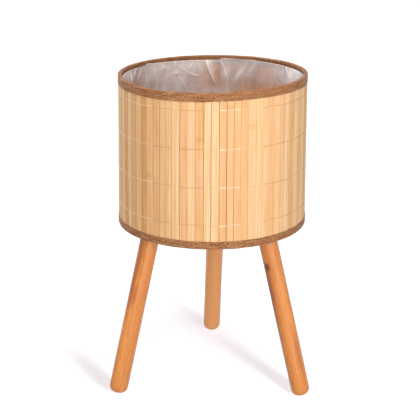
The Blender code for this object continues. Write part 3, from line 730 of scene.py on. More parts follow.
def turned_mesh(name, outline, steps, closed=True):
    """A mesh turned about Z from (radius, height) points, with a UV map in metres: round it and along the
    outline. A closed outline joins its last point to its first."""
    bm = bmesh.new()
    uv = bm.loops.layers.uv.new("surface")
    widest = max(radius for radius, _ in outline)
    rings = []
    for radius, height in outline:
        count = steps if radius > 0 else 1
        turns = [2 * math.pi * step / count for step in range(count)]
        rings.append([bm.verts.new((radius * math.cos(t), radius * math.sin(t), height)) for t in turns])
    lengths = [math.dist(first, second) for first, second in zip(outline, outline[1:] + outline[:1])]
    if not closed:
        lengths.pop()
    start = 0.0
    for row, reach in enumerate(lengths):
        upper, lower = rings[row], rings[(row + 1) % len(rings)]
        for step in range(steps):
            places = [(upper, step, start), (upper, step + 1, start)]
            places += [(lower, step + 1, start + reach), (lower, step, start + reach)]
            if len(upper) == 1:
                places.pop(1)
            if len(lower) == 1:
                places.pop()
            face = bm.faces.new([ring[place % len(ring)] for ring, place, _ in places])
            for loop, (_, place, along) in zip(face.loops, places):
                loop[uv].uv = (2 * math.pi * widest * place / steps, along)
        start += reach
    bmesh.ops.recalc_face_normals(bm, faces=bm.faces)
    mesh = taken_mesh(bm, name)
    shade(mesh, sharp_angle=50)
    return mesh


def arc(centre, radius, start, end, steps):
    turns = [math.radians(start + (end - start) * step / steps) for step in range(steps + 1)]
    return [(centre[0] + radius * math.cos(turn), centre[1] + radius * math.sin(turn)) for turn in turns]


def thickened(path, thickness):
    """The closed outline of a strip of even thickness along a path of (radius, height) points."""
    line = np.array(path)
    ahead = np.gradient(line, axis=0)
    ahead /= np.linalg.norm(ahead, axis=1)[:, None]
    side = np.column_stack([-ahead[:, 1], ahead[:, 0]]) * thickness / 2
    return [tuple(point) for point in np.vstack([line + side, (line - side)[::-1]])]


def settle(mesh):
    """Puts a piece of the drum, made about Z, in its place, and out of true as the real drum is."""
    points = np.empty(3 * len(mesh.vertices), np.float32)
    mesh.vertices.foreach_get("co", points)
    points = points.reshape(-1, 3)
    share = np.clip((points[:, 2] - WALL.low) / (WALL.high - WALL.low), 0, 1)
    width = 1 + DRUM_FLARE * ((WALL.low + WALL.high) / 2 - points[:, 2]) / WALL.outer
    beyond_base = np.clip((np.hypot(points[:, 0], points[:, 1]) - BASE.outer) / (WALL.outer - BASE.outer), 0, 1)
    foot_tilt = FOOT_TILT * beyond_base
    points[:, 2] += (foot_tilt + (RIM_TILT - foot_tilt) * share) * points[:, 0]
    bearing, depth, sharpness = RIM_DIP
    near_rim = np.clip((points[:, 2] - THREADS[-1].high) / (STRIP.low - THREADS[-1].high), 0, 1)
    facing = np.cos(np.arctan2(points[:, 0], -points[:, 1]) - math.radians(bearing))
    points[:, 2] -= depth * near_rim * ((1 + facing) / 2) ** sharpness
    points[:, :2] = points[:, :2] * width[:, None] + AXIS.xy
    points[:, 0] += FOOT_SHIFT * (1 - share)
    mesh.vertices.foreach_set("co", points.ravel())
    mesh.update()


def unsettle(mesh, size, rise, lift):
    """Strays every point of a soft band a little from true, inwards and along Z."""
    elsewhere = Vector((5.0, 5.0, 5.0))
    for vertex in mesh.vertices:
        push = noise.noise(vertex.co / size)
        raise_by = noise.noise(vertex.co / size + elsewhere)
        flat = Vector((vertex.co.x, vertex.co.y, 0.0)).normalized()
        vertex.co -= flat * rise * (0.5 + 0.5 * push)
        vertex.co.z += lift * raise_by


def new_tree(name, *sizes):
    """A geometry node tree, what adds nodes to it, and what comes in: a geometry, sizes in metres, a finish."""
    tree = bpy.data.node_groups.new(name, "GeometryNodeTree")
    tree.interface.new_socket(name="Geometry", in_out="INPUT", socket_type="NodeSocketGeometry")
    for size in sizes:
        tree.interface.new_socket(name=size, in_out="INPUT", socket_type="NodeSocketFloat").subtype = "DISTANCE"
    tree.interface.new_socket(name="Finish", in_out="INPUT", socket_type="NodeSocketMaterial")
    tree.interface.new_socket(name="Geometry", in_out="OUTPUT", socket_type="NodeSocketGeometry")
    add = partial(add_node, tree)
    return tree, add, add("GroupInput").outputs


def close_tree(add, geometry, given):
    real = add("RealizeInstances", geometry)
    add("GroupOutput", add("SetMaterial", real, Material=given["Finish"]))


def grown_mesh(name, base, tree, **values):
    """The plain mesh that a tree makes of a base mesh, with values for the tree's named inputs."""
    carrier = linked(name, base)
    modifier = carrier.modifiers.new(tree.name, "NODES")
    modifier.node_group = tree
    for socket in tree.interface.items_tree:
        known_as = socket.name.replace(" ", "_")
        if known_as in values:
            modifier[socket.identifier] = values[known_as]
    return plain_mesh(name, carrier)


def joint_turns():
    """Angles of the joints between the slats, read from the grooves at the CAD wall's upper edge, with the
    two sides of the seam at its ends."""
    points = corners("bamboo_mat")
    top = points[points[:, 2] > WALL.high - SEAT_GAP]
    x, y = top[:, 0] - AXIS.x, top[:, 1] - AXIS.y
    away = np.hypot(x, y)
    turns = np.mod(np.arctan2(y, x) - SEAM_ANGLE, 2 * math.pi)
    face = WALL.outer - SEAT_GAP
    groove = turns[(away < face) & (away > (face + WALL.inner) / 2 - SEAT_GAP / 2)]
    rim = turns[away > face]
    return np.unique(np.concatenate([groove, [rim.min(), rim.max()]]).round(5)) + SEAM_ANGLE


def within(values, low, high, soft):
    """1 between two limits and 0 outside them, with a soft edge."""
    return np.clip((values - low) / soft, 0, 1) * np.clip((high - values) / soft, 0, 1)


def on_stretch(bearings, low, high, value):
    """A value between two bearings, and 0 elsewhere."""
    return value * ((bearings > low) & (bearings < high))


def slat_points(look):
    """A point for each slat, which carries its turn about the axis, half its width and its own character."""
    joints = joint_turns()
    count = len(joints) - 1
    middles = (joints[1:] + joints[:-1]) / 2
    bearings = np.degrees(np.mod(middles + math.pi / 2 + math.pi, 2 * math.pi) - math.pi)
    open_side = bearings < OPEN_SIDE
    dice = random.Random(SLAT_SEED)
    widths = np.array([dice.random() ** power for power in np.where(open_side, 1.0, TIGHT_POWER)])
    gaps = look.least_joint + (look.widest_joint - look.least_joint) * widths
    rows = {"number": np.arange(count), "turn": middles, "half": (WALL.outer * np.diff(joints) - gaps) / 2}
    for name, limits in SLAT_RANGES.items():
        rows[name] = np.array([dice.uniform(*limits) for _ in range(count)])
    rows["warmth"] = rows["warmth"].clip(min=0.0)
    rows["under"] = (rows["under"] < UNDER_SHARE) * 1.0
    darker = sum(on_stretch(bearings, *stretch) for stretch in DARK_JOINTS)
    rows["open"] *= np.where(open_side, 1.0, TIGHT_SHADE) * (1 + darker)
    # The thread's painted highlight: the key lamp's glint on the front and the side lamp's reflection on the
    # left.
    rows["pale"] = rows["pale"] * within(bearings, *KEY_GLINT_BEARINGS) + on_stretch(bearings, *SIDE_GLINT_STRETCH)
    rows["tone"] += np.where(abs(bearings) > SIDES, SIDE_CONTRAST * (-1.0) ** np.arange(count), 0.0)
    rows["tone"] += sum(on_stretch(bearings, *stretch) for stretch in DEEPER_STRETCHES)
    rows["tone"] *= 1 - on_stretch(bearings, *CALM_STRETCH)
    for name, marks in (("tone", DEEPER_SLATS + PALER_SLATS), ("scar", SCARS), ("under", THREAD_UNDER)):
        for bearing, value in marks:
            rows[name][abs(bearings - bearing).argmin()] = value
    base = bpy.data.meshes.new("slat_points")
    base.from_pydata([(0.0, 0.0, 0.0)] * count, [], [])
    for name, values in rows.items():
        carry(base, name, values)
    return base


def slat_tree():
    """One slat at every point: its long edges rounded, its face slightly crowned, and its edges wavering
    with its neighbours'."""
    tree, add, given = new_tree("Slat Wall", "Foot", "Height", "Back", "Thickness", "Rounding", "Crown", "Waver")
    vector, single = {"data_type": "FLOAT_VECTOR"}, {"data_type": "FLOAT"}
    cube = add("MeshCube", **SLAT_DIVISIONS)
    marked = add("StoreNamedAttribute", cube, Name="blank", Value=add("InputPosition"), **vector)
    slats = add("RealizeInstances", add("InstanceOnPoints", given["Geometry"], Instance=marked))
    own = add("SeparateXYZ", add("InputNamedAttribute", Name="blank", **vector)).outputs
    carried = ("turn", "half", "lean", "number", "open")
    turn, half, lean, order, opened = [add("InputNamedAttribute", Name=name, **single) for name in carried]
    # Across the slat from -1 to 1, with the points drawn out towards its edges.
    side = add("Math", own["X"], operation="SIGN")
    even = add("Math", own["X"], side, operation="MULTIPLY")
    doubled = add("Math", even, 2.0, operation="MULTIPLY")
    edge = add("Math", doubled, EDGE_SPREAD, operation="POWER")
    share = add("Math", edge, side, operation="MULTIPLY")
    # Two slats at a joint read the same point of the noise, so their edges stay side by side.
    joint = add("Math", order, own["X"], operation="ADD")
    height_share = add("Math", own["Z"], SLAT_WAVES, operation="MULTIPLY")
    wave = add("TexNoise", add("CombineXYZ", X=joint, Z=height_share), Scale=1.0, Detail=1.0)
    centred = add("Math", wave, 0.5, operation="SUBTRACT")
    stray = add("Math", centred, given["Waver"], operation="MULTIPLY")
    across = add("Math", share, half, stray, operation="MULTIPLY_ADD")
    fall = add("Math", edge, EDGE_SHARPNESS, operation="POWER")
    square = add("Math", edge, edge, operation="MULTIPLY")
    flat = add("Math", 1.0, square, operation="SUBTRACT")
    swell = add("Math", flat, given["Crown"], given["Thickness"], operation="MULTIPLY_ADD")
    drop = add("Math", fall, given["Rounding"], operation="MULTIPLY")
    # Painted shade at the joint: the slat's edge is darkened as much as its joint is open.
    joint_shade = add("Math", fall, opened, operation="MULTIPLY")
    face = add("Math", swell, drop, operation="SUBTRACT")
    outside = add("Math", own["Y"], 0.5, operation="ADD")
    back = add("Math", lean, across, given["Back"], operation="MULTIPLY_ADD")
    away = add("Math", outside, face, back, operation="MULTIPLY_ADD")
    up = add("Math", own["Z"], 0.5, operation="ADD")
    height = add("Math", up, given["Height"], given["Foot"], operation="MULTIPLY_ADD")
    local = add("CombineXYZ", X=away, Y=across, Z=height)
    place = add("VectorRotate", local, Angle=turn, rotation_type="Z_AXIS")
    pattern = add("CombineXYZ", X=across, Y=order, Z=height)
    patterned = add("StoreNamedAttribute", slats, Name="slat_place", Value=pattern, **vector)
    edged = add("StoreNamedAttribute", patterned, Name="edge", Value=joint_shade, **single)
    close_tree(add, add("SetPosition", edged, Position=place), given)
    return tree


def thread_tree():
    """Rows of one closed thread each, which lies across every slat's face and dips at the joints."""
    sizes = ["Face", "Crown", "Dip", "Half Width", "Half Depth", "First", "Pitch"]
    tree, add, given = new_tree("Thread Rows", *sizes)
    size = add("AttributeDomainSize", given["Geometry"])
    steps = add("Math", size, THREAD_STEPS, operation="MULTIPLY")
    line = add("MeshLine", Count=steps)
    # Where along its slat a point lies, from -1 to 1, and what its slat carries.
    ratio = add("Math", add("InputIndex"), THREAD_STEPS, operation="DIVIDE")
    slat = add("Math", ratio, operation="FLOOR")
    part = add("Math", ratio, slat, operation="SUBTRACT")
    share = add("Math", part, 2.0, -1.0, operation="MULTIPLY_ADD")
    carried = []
    for name in ("turn", "half", "lean", "under", "pale"):
        value = add("InputNamedAttribute", Name=name, data_type="FLOAT")
        carried.append(add("SampleIndex", given["Geometry"], Value=value, Index=slat, data_type="FLOAT"))
    turn, half, lean, under, pale = carried
    across = add("Math", share, half, operation="MULTIPLY")
    square = add("Math", share, share, operation="MULTIPLY")
    flat = add("Math", 1.0, square, operation="SUBTRACT")
    high = add("Math", flat, given["Crown"], given["Face"], operation="MULTIPLY_ADD")
    tilted = add("Math", lean, across, high, operation="MULTIPLY_ADD")
    ends = add("Math", square, THREAD_SHARPNESS, operation="POWER")
    sunk = add("Math", under, 2.0, ends, operation="MULTIPLY_ADD")
    dip = add("Math", sunk, given["Dip"], operation="MULTIPLY")
    away = add("Math", tilted, dip, operation="SUBTRACT")
    place = add("VectorRotate", add("CombineXYZ", X=away, Y=across), Angle=turn, rotation_type="Z_AXIS")
    # Carries the thread's painted highlight along it.
    tinted = add("StoreNamedAttribute", line, Name="pale", Value=pale, data_type="FLOAT")
    curve = add("MeshToCurve", add("SetPosition", tinted, Position=place))
    upright = add("SetCurveNormal", add("SetSplineCyclic", curve, Cyclic=True))
    circle = add("CurvePrimitiveCircle", Resolution=8, Radius=1.0)
    section = add("CombineXYZ", X=given["Half Depth"], Y=given["Half Width"], Z=1.0)
    row = add("CurveToMesh", upright, add("Transform", circle, Scale=section))
    start, step = add("CombineXYZ", Z=given["First"]), add("CombineXYZ", Z=given["Pitch"])
    rows = add("MeshLine", Count=len(THREADS), Start_Location=start, Offset=step)
    real = add("RealizeInstances", add("InstanceOnPoints", rows, Instance=row))
    wander = add("TexNoise", add("InputPosition"), Scale=1 / THREAD_WANDER_LENGTH, Detail=1.0)
    lift = add("MapRange", wander, To_Min=-THREAD_WANDER, To_Max=THREAD_WANDER)
    close_tree(add, add("SetPosition", real, Offset=add("CombineXYZ", Z=lift)), given)
    return tree


class FLOWERPOT_OT_make_slats(bpy.types.Operator):
    """Makes the wall of bamboo slats"""

    bl_idname = "flowerpot.make_slats"
    bl_label = "Make Slats"

    def execute(self, context):
        look = context.scene.flowerpot_drum
        sizes = {"Foot": WALL.low, "Height": WALL.high - WALL.low, "Back": WALL.inner}
        sizes["Thickness"] = WALL.outer - WALL.inner - SEAT_GAP / 3
        shapes = {"Rounding": look.slat_rounding, "Crown": look.slat_crown, "Waver": look.slat_waver}
        finish = split_bamboo(look)
        mesh = grown_mesh("slats", slat_points(look), slat_tree(), **sizes, **shapes, Finish=finish)
        settle(mesh)
        shade(mesh, sharp_angle=60)
        stands_for(in_scene("slats", mesh), "bamboo", "bamboo_mat")
        return {"FINISHED"}


class FLOWERPOT_OT_make_threads(bpy.types.Operator):
    """Makes the rows of thread across the slats"""

    bl_idname = "flowerpot.make_threads"
    bl_label = "Make Threads"

    def execute(self, context):
        look = context.scene.flowerpot_drum
        heights = [section_middle(row)[1] for row in THREADS]
        values = {
            "Face": WALL.outer - SEAT_GAP / 3,
            "Crown": look.slat_crown,
            "Dip": look.thread_dip,
            "Half_Width": look.thread_width / 2,
            "Half_Depth": (THREADS[0].outer - THREADS[0].inner) / 2,
            "First": heights[0],
            "Pitch": (heights[-1] - heights[0]) / (len(heights) - 1),
            "Finish": nylon_thread(look),
        }
        mesh = grown_mesh("threads", slat_points(look), thread_tree(), **values)
        settle(mesh)
        mesh.shade_smooth()
        stands_for(in_scene("threads", mesh), "thread", *THREAD_NODES)
        return {"FINISHED"}


def section_middle(ring):
    """The middle of a ring's section, as a radius and a height."""
    return (ring.inner + ring.outer) / 2, (ring.low + ring.high) / 2


def rim_tape_path():
    """The tape's middle line, from its outer lower edge, over the wall and the hoop, to its inner edge."""
    half = TAPE_THICKNESS / 2
    outside, top = RIM_TAPE.outer - half, RIM_TAPE.high - half
    inside = CLOTH.inner - SEAT_GAP - half
    hoop = section_middle(HOOP)
    path = [(outside, STRIP.low + (top - TAPE_BEND - STRIP.low) * part / 6) for part in range(6)]
    path += arc((outside - TAPE_BEND, top - TAPE_BEND), TAPE_BEND, 0, 90, 5)
    path += arc(hoop, top - hoop[1], 90, HOOP_LEFT, 8)
    path += [(inside - tuck, hoop[1] - depth) for tuck, depth in TAPE_TUCK]
    return [*path, (inside, RIM_TAPE.low)]


def foot_tape_path():
    """The tape's middle line, from its edge under the base, round the wall's foot, to its upper edge."""
    half = TAPE_THICKNESS / 2
    outside, under = FOOT_TAPE.outer - half, FOOT_TAPE.low + half
    path = [(FOOT_TAPE.inner + (outside - TAPE_BEND - FOOT_TAPE.inner) * part / 4, under) for part in range(4)]
    path += arc((outside - TAPE_BEND, under + TAPE_BEND), TAPE_BEND, -90, 0, 5)
    rise = FOOT_TAPE.high + FOOT_TAPE_OVER - under - TAPE_BEND
    return path + [(outside, under + TAPE_BEND + rise * part / 5) for part in range(1, 6)]


class FLOWERPOT_OT_make_tapes(bpy.types.Operator):
    """Makes the tapes that bind the wall's two edges"""

    bl_idname = "flowerpot.make_tapes"
    bl_label = "Make Tapes"

    def execute(self, context):
        finish = woven_tape(context.scene.flowerpot_drum)
        tapes = [("rim_tape", rim_tape_path(), "top_tape"), ("foot_tape", foot_tape_path(), "bottom_tape")]
        for name, path, node in tapes:
            mesh = turned_mesh(name, thickened(path, TAPE_THICKNESS), ROUND_STEPS)
            unsettle(mesh, size=0.012, rise=0.00012, lift=0.00025)
            settle(mesh)
            stands_for(in_scene(name, mesh, finish), "tape", node)
        return {"FINISHED"}


def ring_outline(ring):
    return [(ring.outer, ring.high), (ring.outer, ring.low), (ring.inner, ring.low), (ring.inner, ring.high)]


class FLOWERPOT_OT_make_lining(bpy.types.Operator):
    """Makes the cloth behind the slats, the wire hoop and the base disc's finish"""

    bl_idname = "flowerpot.make_lining"
    bl_label = "Make Cloth, Hoop and Base"

    def execute(self, context):
        look = context.scene.flowerpot_drum
        cloth = turned_mesh("lining_cloth", ring_outline(CLOTH), ROUND_STEPS)
        settle(cloth)
        stands_for(in_scene("lining_cloth", cloth, spunbond_cloth(look)), "backing_cloth", "backing_cloth")
        wire = arc(section_middle(HOOP), (HOOP.high - HOOP.low) / 2, 0, -360, 12)
        hoop = turned_mesh("wire_hoop", wire[:-1], ROUND_STEPS)
        settle(hoop)
        finish = zinc_plating("zinc_plated_wire", context.scene.flowerpot_legs, dullness=0.35)
        stands_for(in_scene("wire_hoop", hoop, finish), "plated_steel", "rim_hoop")
        repaint(rotary_plywood(look), "base_disc")
        return {"FINISHED"}


def fold_crest(x, y, fold, per_degree):
    """How strongly a fold stands out at each point: a sharp crest along its line, fading at its ends."""
    start = np.array((fold.bearing * per_degree, fold.depth))
    run = np.array((fold.end_bearing * per_degree, fold.end_depth)) - start
    share = ((x - start[0]) * run[0] + (y - start[1]) * run[1]) / (run @ run)
    held = np.clip(share, 0.0, 1.0)
    away = np.hypot(x - start[0] - held * run[0], y - start[1] - held * run[1])
    ends = np.clip(np.sin(math.pi * (held * (1 - 2 * FOLD_END) + FOLD_END)), 0, 1) ** 0.5
    return np.exp(-((away / fold.width) ** CREST_POWER)) * ends


def veil_share(bearing, depth, veil):
    return np.exp(-(((bearing - veil.bearing) / veil.width) ** 2) - ((depth - veil.depth) / veil.height) ** 2)


def fading(depth, reach, fade):
    """1 near the film's edge and 0 beyond a reach, with a fade before it."""
    return np.clip((reach - depth) / fade, 0, 1)


def film_relief(bearing, depth, wall_depth, look):
    """How far the film stands in from the wall at each bearing and depth, how far its edge stands over the
    CAD's, and how hazy and how creamy it is."""
    per_degree = math.radians(1) * FILM.outer
    x = bearing * per_degree
    dice = random.Random(FILM_SEED)
    inset, crest, lapped, raised, crumpled = np.zeros((5, *x.shape))
    hang = np.clip(depth / HANG_TOP_FADE, 0, 1) * fading(depth, wall_depth, HANG_FOOT_FADE)
    ranges = [(-180, 180), HANG_SLANT, HANG_START, HANG_WIDTH, HANG_SHARE, HANG_END]
    for _ in range(HANGING_FOLDS):
        middle, slant, top, width, share, end = [dice.uniform(*limits) for limits in ranges]
        # A fold's line may pass the seam of the bearings, so it is drawn a whole turn to both sides too.
        for turned in (middle - 360, middle, middle + 360):
            fold = Fold(turned, top, turned + slant, wall_depth - end, width, look.sag * share)
            inset = np.maximum(inset, fold.rise * hang * fold_crest(x, depth, fold, per_degree))
    ranges = [(-180, 180), (0.0, wall_depth), CREASE_REACH, (0, math.pi), CREASE_WIDTH, CREASE_SHARE]
    for _ in range(CREASES):
        middle, start, reach, turn, width, share = [dice.uniform(*limits) for limits in ranges]
        end = (middle + reach * math.cos(turn) / per_degree, start + reach * math.sin(turn))
        strength = fold_crest(x, depth, Fold(middle, start, *end, width, 0.0), per_degree)
        inset += look.crinkle * share * strength
        crest = np.maximum(crest, CREASE_WHITENING * strength)
    for fold in FILM_FOLDS:
        strength = fold_crest(x, depth, fold, per_degree)
        inset += fold.rise * strength
        crest = np.maximum(crest, strength * min(1.0, fold.rise / FULL_RISE))
    share = np.clip(depth / TONGUE_DEPTH, 0, 1)
    left = TONGUE_LEFT + (TONGUE_TIP - TONGUE_LEFT) * share**TONGUE_BOW
    right = TONGUE_RIGHT + (TONGUE_TIP - TONGUE_RIGHT) * share
    across = np.clip((bearing - left) / np.maximum(right - left, 0.01), 0, 1)
    on_tongue = (bearing > left - TONGUE_BORDER) & (bearing < right + TONGUE_BORDER) & (depth < TONGUE_DEPTH)
    inset += TONGUE_RISE * on_tongue * (1 - across) ** TONGUE_SLOPE * np.sqrt(share * (1 - share)) * 2
    tongue = on_tongue * (1 - 0.5 * across)
    for low, low_rise, high, high_rise in LAPS:
        side = within(bearing, low, high, LAP_SOFTNESS)
        lapped = np.maximum(lapped, side * fading(depth, LAP_DEPTH, LAP_FADE))
        raised = np.maximum(raised, side * np.interp(bearing, (low, high), (low_rise, high_rise)))
    inset += LAP_RISE * lapped
    for low, high in CRUMPLES:
        side = within(bearing, low, high, CRUMPLE_SOFTNESS)
        crumpled = np.maximum(crumpled, side * fading(depth, CRUMPLE_DEPTH, CRUMPLE_FADE))
    inset += EDGE_LEAN * fading(depth, EDGE_LEAN_DEPTH, EDGE_LEAN_DEPTH) * (raised > 0)
    # The film's edge beyond the sides' bearing is whitened as a painted highlight.
    side_border_glint = SIDE_BORDER_GLINT * (abs(bearing) > BORDER_SIDES)
    layers = lapped + crumpled + fading(depth, TOP_HAZE_DEPTH, TOP_HAZE_DEPTH) * (abs(bearing) < SEEN_BEARING)
    # Creases and folds whiten the film, partly as painted highlights along them.
    haze = look.clear_haze + look.crease_haze * crest + LAYER_HAZE * layers
    haze += fading(depth, BORDER_DEPTH, BORDER_DEPTH) * (BORDER_HAZE + side_border_glint)
    haze += sum(veil.haze * veil_share(bearing, depth, veil) for veil in VEILS)
    haze = np.clip(np.maximum(haze, TONGUE_HAZE * tongue), 0.0, MOST_HAZE)
    return inset, raised * fading(depth, EDGE_DEPTH, EDGE_DEPTH), haze, on_tongue * share**0.5


def film_profile():
    """Points down the film's outer face, from its edge to the middle of its floor: radius, height, depth
    measured along it, and the direction that points into the drum."""
    wall_depth = FILM.high - FILM.low
    corner = wall_depth - FILM_CORNER
    seen = np.arange(0, SEEN_DEPTH, SEEN_ROW)
    down = np.concatenate([seen, np.linspace(SEEN_DEPTH, corner, HIDDEN_ROWS)])
    rows = [(FILM.outer, FILM.high - depth, depth, -1.0, 0.0) for depth in down]
    centre = (FILM.outer - FILM_CORNER, FILM.low + FILM_CORNER)
    for step in range(1, FILM_CORNER_ROWS + 1):
        turn = math.pi / 2 * step / FILM_CORNER_ROWS
        radius = centre[0] + FILM_CORNER * math.cos(turn)
        height = centre[1] - FILM_CORNER * math.sin(turn)
        rows.append((radius, height, corner + FILM_CORNER * turn, -math.cos(turn), math.sin(turn)))
    along = corner + FILM_CORNER * math.pi / 2
    for step in range(1, FLOOR_ROWS):
        radius = centre[0] * (1 - step / FLOOR_ROWS)
        rows.append((radius, FILM.low, along + centre[0] - radius, 0.0, 1.0))
    return np.array(rows), wall_depth


def film_mesh(look):
    """The film bag: a sheet that hangs from the rim in folds and lies on the base, its haze on each point."""
    rows, wall_depth = film_profile()
    seen = np.arange(-SEEN_BEARING, SEEN_BEARING, SEEN_STEP)
    bearings = np.concatenate([seen, np.arange(SEEN_BEARING, 360 - SEEN_BEARING, HIDDEN_STEP)])
    bearings = np.where(bearings > 180, bearings - 360, bearings)
    bearing, depth = np.meshgrid(bearings, rows[:, 2])
    inset, raised, haze, cream = film_relief(bearing, depth, wall_depth, look)
    radius = rows[:, 0][:, None] + (inset + look.thickness) * rows[:, 3][:, None]
    height = rows[:, 1][:, None] + raised + (inset + look.thickness) * rows[:, 4][:, None]
    turn = np.radians(bearing) + FILM_TURN
    points = np.stack([radius * np.sin(turn), radius * np.cos(turn), height], axis=-1).reshape(-1, 3)
    points = np.vstack([points, (0.0, 0.0, FILM.low + look.thickness)])
    count = len(bearings)
    faces = []
    for row in range(len(rows) - 1):
        for step in range(count):
            first, second = row * count + step, row * count + (step + 1) % count
            faces.append((first, second, second + count, first + count))
    last = (len(rows) - 1) * count
    faces += [(last + step, last + (step + 1) % count, len(points) - 1) for step in range(count)]
    mesh = bpy.data.meshes.new("film_bag")
    mesh.from_pydata(points.tolist(), [], faces)
    carry(mesh, "haze", np.append(haze, look.clear_haze))
    carry(mesh, "cream", np.append(cream, 0.0))
    mesh.shade_smooth()
    settle(mesh)
    return mesh


class FLOWERPOT_OT_make_liner(bpy.types.Operator):
    """Makes the film bag and the adhesive strip behind its edge"""

    bl_idname = "flowerpot.make_liner"
    bl_label = "Make Liner"

    def execute(self, context):
        look = context.scene.flowerpot_liner
        bag = in_scene("film_bag", film_mesh(look), polyethylene_film(look))
        wall = bag.modifiers.new("Thickness", "SOLIDIFY")
        wall.thickness = look.thickness
        wall.offset = 1.0
        stands_for(bag, "film", "film_liner")
        strip = turned_mesh("glue_strip", ring_outline(STRIP), ROUND_STEPS)
        unsettle(strip, size=0.02, rise=0.0, lift=0.0003)
        settle(strip)
        stands_for(in_scene("glue_strip", strip, adhesive_strip(look)), "strip", "liner_strip")
        return {"FINISHED"}


def leg_frame(node):
    """A leg's own frame, with its origin at the middle of the foot's end and +Z up along the leg, and the
    distances of the CAD leg's corners along and from that axis."""
    points = corners(node)
    middle = points.mean(axis=0)
    directions = np.linalg.svd(points - middle)[2]
    up = directions[0] * np.sign(directions[0][2])
    along = (points - middle) @ up
    foot, upwards = Vector(middle + up * along.min()), Vector(up)
    outwards = Vector((foot.x - AXIS.x, foot.y - AXIS.y, 0.0))
    outwards = (outwards - upwards * outwards.dot(upwards)).normalized()
    turn = Matrix((outwards, upwards.cross(outwards), upwards)).transposed().to_4x4()
    away = np.linalg.norm(points - middle - np.outer(along, up), axis=1)
    return Matrix.Translation(foot) @ turn, along - along.min(), away


def leg_outline(along, away):
    """The leg's outline from the bore in its upper end, down its side and round its foot."""
    radius, top = away.max(), along.max()
    bore = away[along > top - SEAT_GAP].min()
    bore_foot = along[abs(away - bore) < SEAT_GAP / 3].min()
    chamfered = along[abs(away - radius) < SEAT_GAP / 3].max()
    flat = away[along < SEAT_GAP].max()
    fillet = radius - flat
    side = [(radius, chamfered + (fillet - chamfered) * row / LEG_ROWS) for row in range(LEG_ROWS)]
    foot = arc((flat, fillet), fillet, 0, -90, 12)
    end = [(0.0, bore_foot), (bore, bore_foot), (bore, top), (radius - (top - chamfered), top)]
    return [*end, *side, *foot, (0.0, 0.0)]


def stain_place(mark):
    """The middle of a knot or streak in the grain's own coordinates."""
    turn = math.radians(mark.turn)
    radius = leg_frame(LEGS[mark.leg])[2].max()
    return Vector((radius * math.cos(turn), radius * math.sin(turn), mark.height + GRAIN_OFFSET * mark.leg))


def leg_mesh(name, leg, outline):
    """A dowel in its own frame, a little uneven, with the place in its own piece of wood on each point."""
    mesh = turned_mesh(name, outline, LEG_STEPS, closed=False)
    widest = max(radius for radius, _ in outline)
    grain = [vertex.co + Vector((0.0, 0.0, GRAIN_OFFSET * leg)) for vertex in mesh.vertices]
    for vertex, place in zip(mesh.vertices, grain):
        stretch = 1 + noise.noise(place / LEG_WAVE) * LEG_UNEVENNESS / widest
        vertex.co.x *= stretch
        vertex.co.y *= stretch
    carry(mesh, "grain", grain)
    # How pale the leg's stain is: faded, and on the back leg painted light as well.
    carry(mesh, "fade", [LEG_FADES_AND_LIGHT[leg]] * len(grain))
    return mesh


class FLOWERPOT_OT_make_legs(bpy.types.Operator):
    """Makes the three stained dowel legs"""

    bl_idname = "flowerpot.make_legs"
    bl_label = "Make Legs"

    def execute(self, context):
        finish = stained_dowel(context.scene.flowerpot_legs)
        for leg, node in enumerate(LEGS):
            place, along, away = leg_frame(node)
            name = f"dowel_{node}"
            mesh = leg_mesh(name, leg, leg_outline(along, away))
            mesh.transform(place)
            stands_for(in_scene(name, mesh, finish), "stained_wood", node)
        return {"FINISHED"}


def softened_mesh(name, node, edge):
    """A copy of a CAD node's mesh, merged and cleaned, with its sharp edges rounded."""
    bm = bmesh.new()
    bm.from_mesh(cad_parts[node].data)
    bmesh.ops.remove_doubles(bm, verts=bm.verts, dist=0.00001)
    bmesh.ops.dissolve_limit(bm, angle_limit=math.radians(1), verts=bm.verts, edges=bm.edges)
    sharp = [item for item in bm.edges if item.is_manifold and item.calc_face_angle(0) > math.radians(50)]
    bmesh.ops.bevel(bm, geom=sharp, offset=edge, segments=2, profile=0.5, affect="EDGES", clamp_overlap=True)
    bmesh.ops.recalc_face_normals(bm, faces=bm.faces)
    mesh = taken_mesh(bm, name)
    shade(mesh, sharp_angle=40)
    return mesh


def screw_sizes():
    """The radii of the head and shank, and the heights of the head's crown, side and seat and of the shank's
    tip, of the CAD's screws."""
    points = corners(SCREWS[0])
    low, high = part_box(SCREWS[0])
    middle = (low + high) / 2
    away = np.hypot(points[:, 0] - middle.x, points[:, 1] - middle.y)
    widest = points[away > away.max() - SEAT_GAP, 2]
    shank = away[points[:, 2] > widest.max() + SEAT_GAP].max()
    return away.max(), shank, low.z, widest.min(), widest.max(), high.z


def screw_blank(recess_depth):
    """A pan-head screw with a cross recess, its head down and its axis on Z, at its real height."""
    head, shank, crown, side, seat, tip = screw_sizes()
    turns = [math.pi / 2 * step / 6 for step in range(6, 0, -1)]
    dome = [(head * math.sin(turn), side - (side - crown) * math.cos(turn)) for turn in turns]
    outline = [(0.0, tip), (shank, tip - 2 * shank), (shank, seat), (head, seat), *dome, (0.0, crown)]
    blank = linked("screw_blank", turned_mesh("screw_blank", outline, steps=24, closed=False))
    bm = bmesh.new()
    for reach, width in ((CROSS_REACH, CROSS_WIDTH), (CROSS_WIDTH, CROSS_REACH)):
        scale = Matrix.Diagonal((head * reach, head * width, 2 * recess_depth, 1.0))
        bmesh.ops.create_cube(bm, size=1.0, matrix=Matrix.Translation((0, 0, crown)) @ scale)
    recess = linked("recess", taken_mesh(bm, "recess"))
    cut = blank.modifiers.new("Recess", "BOOLEAN")
    cut.object = recess
    cut.operation = "DIFFERENCE"
    cut.solver = "EXACT"
    cut.use_self = True
    mesh = plain_mesh("screw_shape", blank)
    bpy.data.objects.remove(recess)
    return mesh


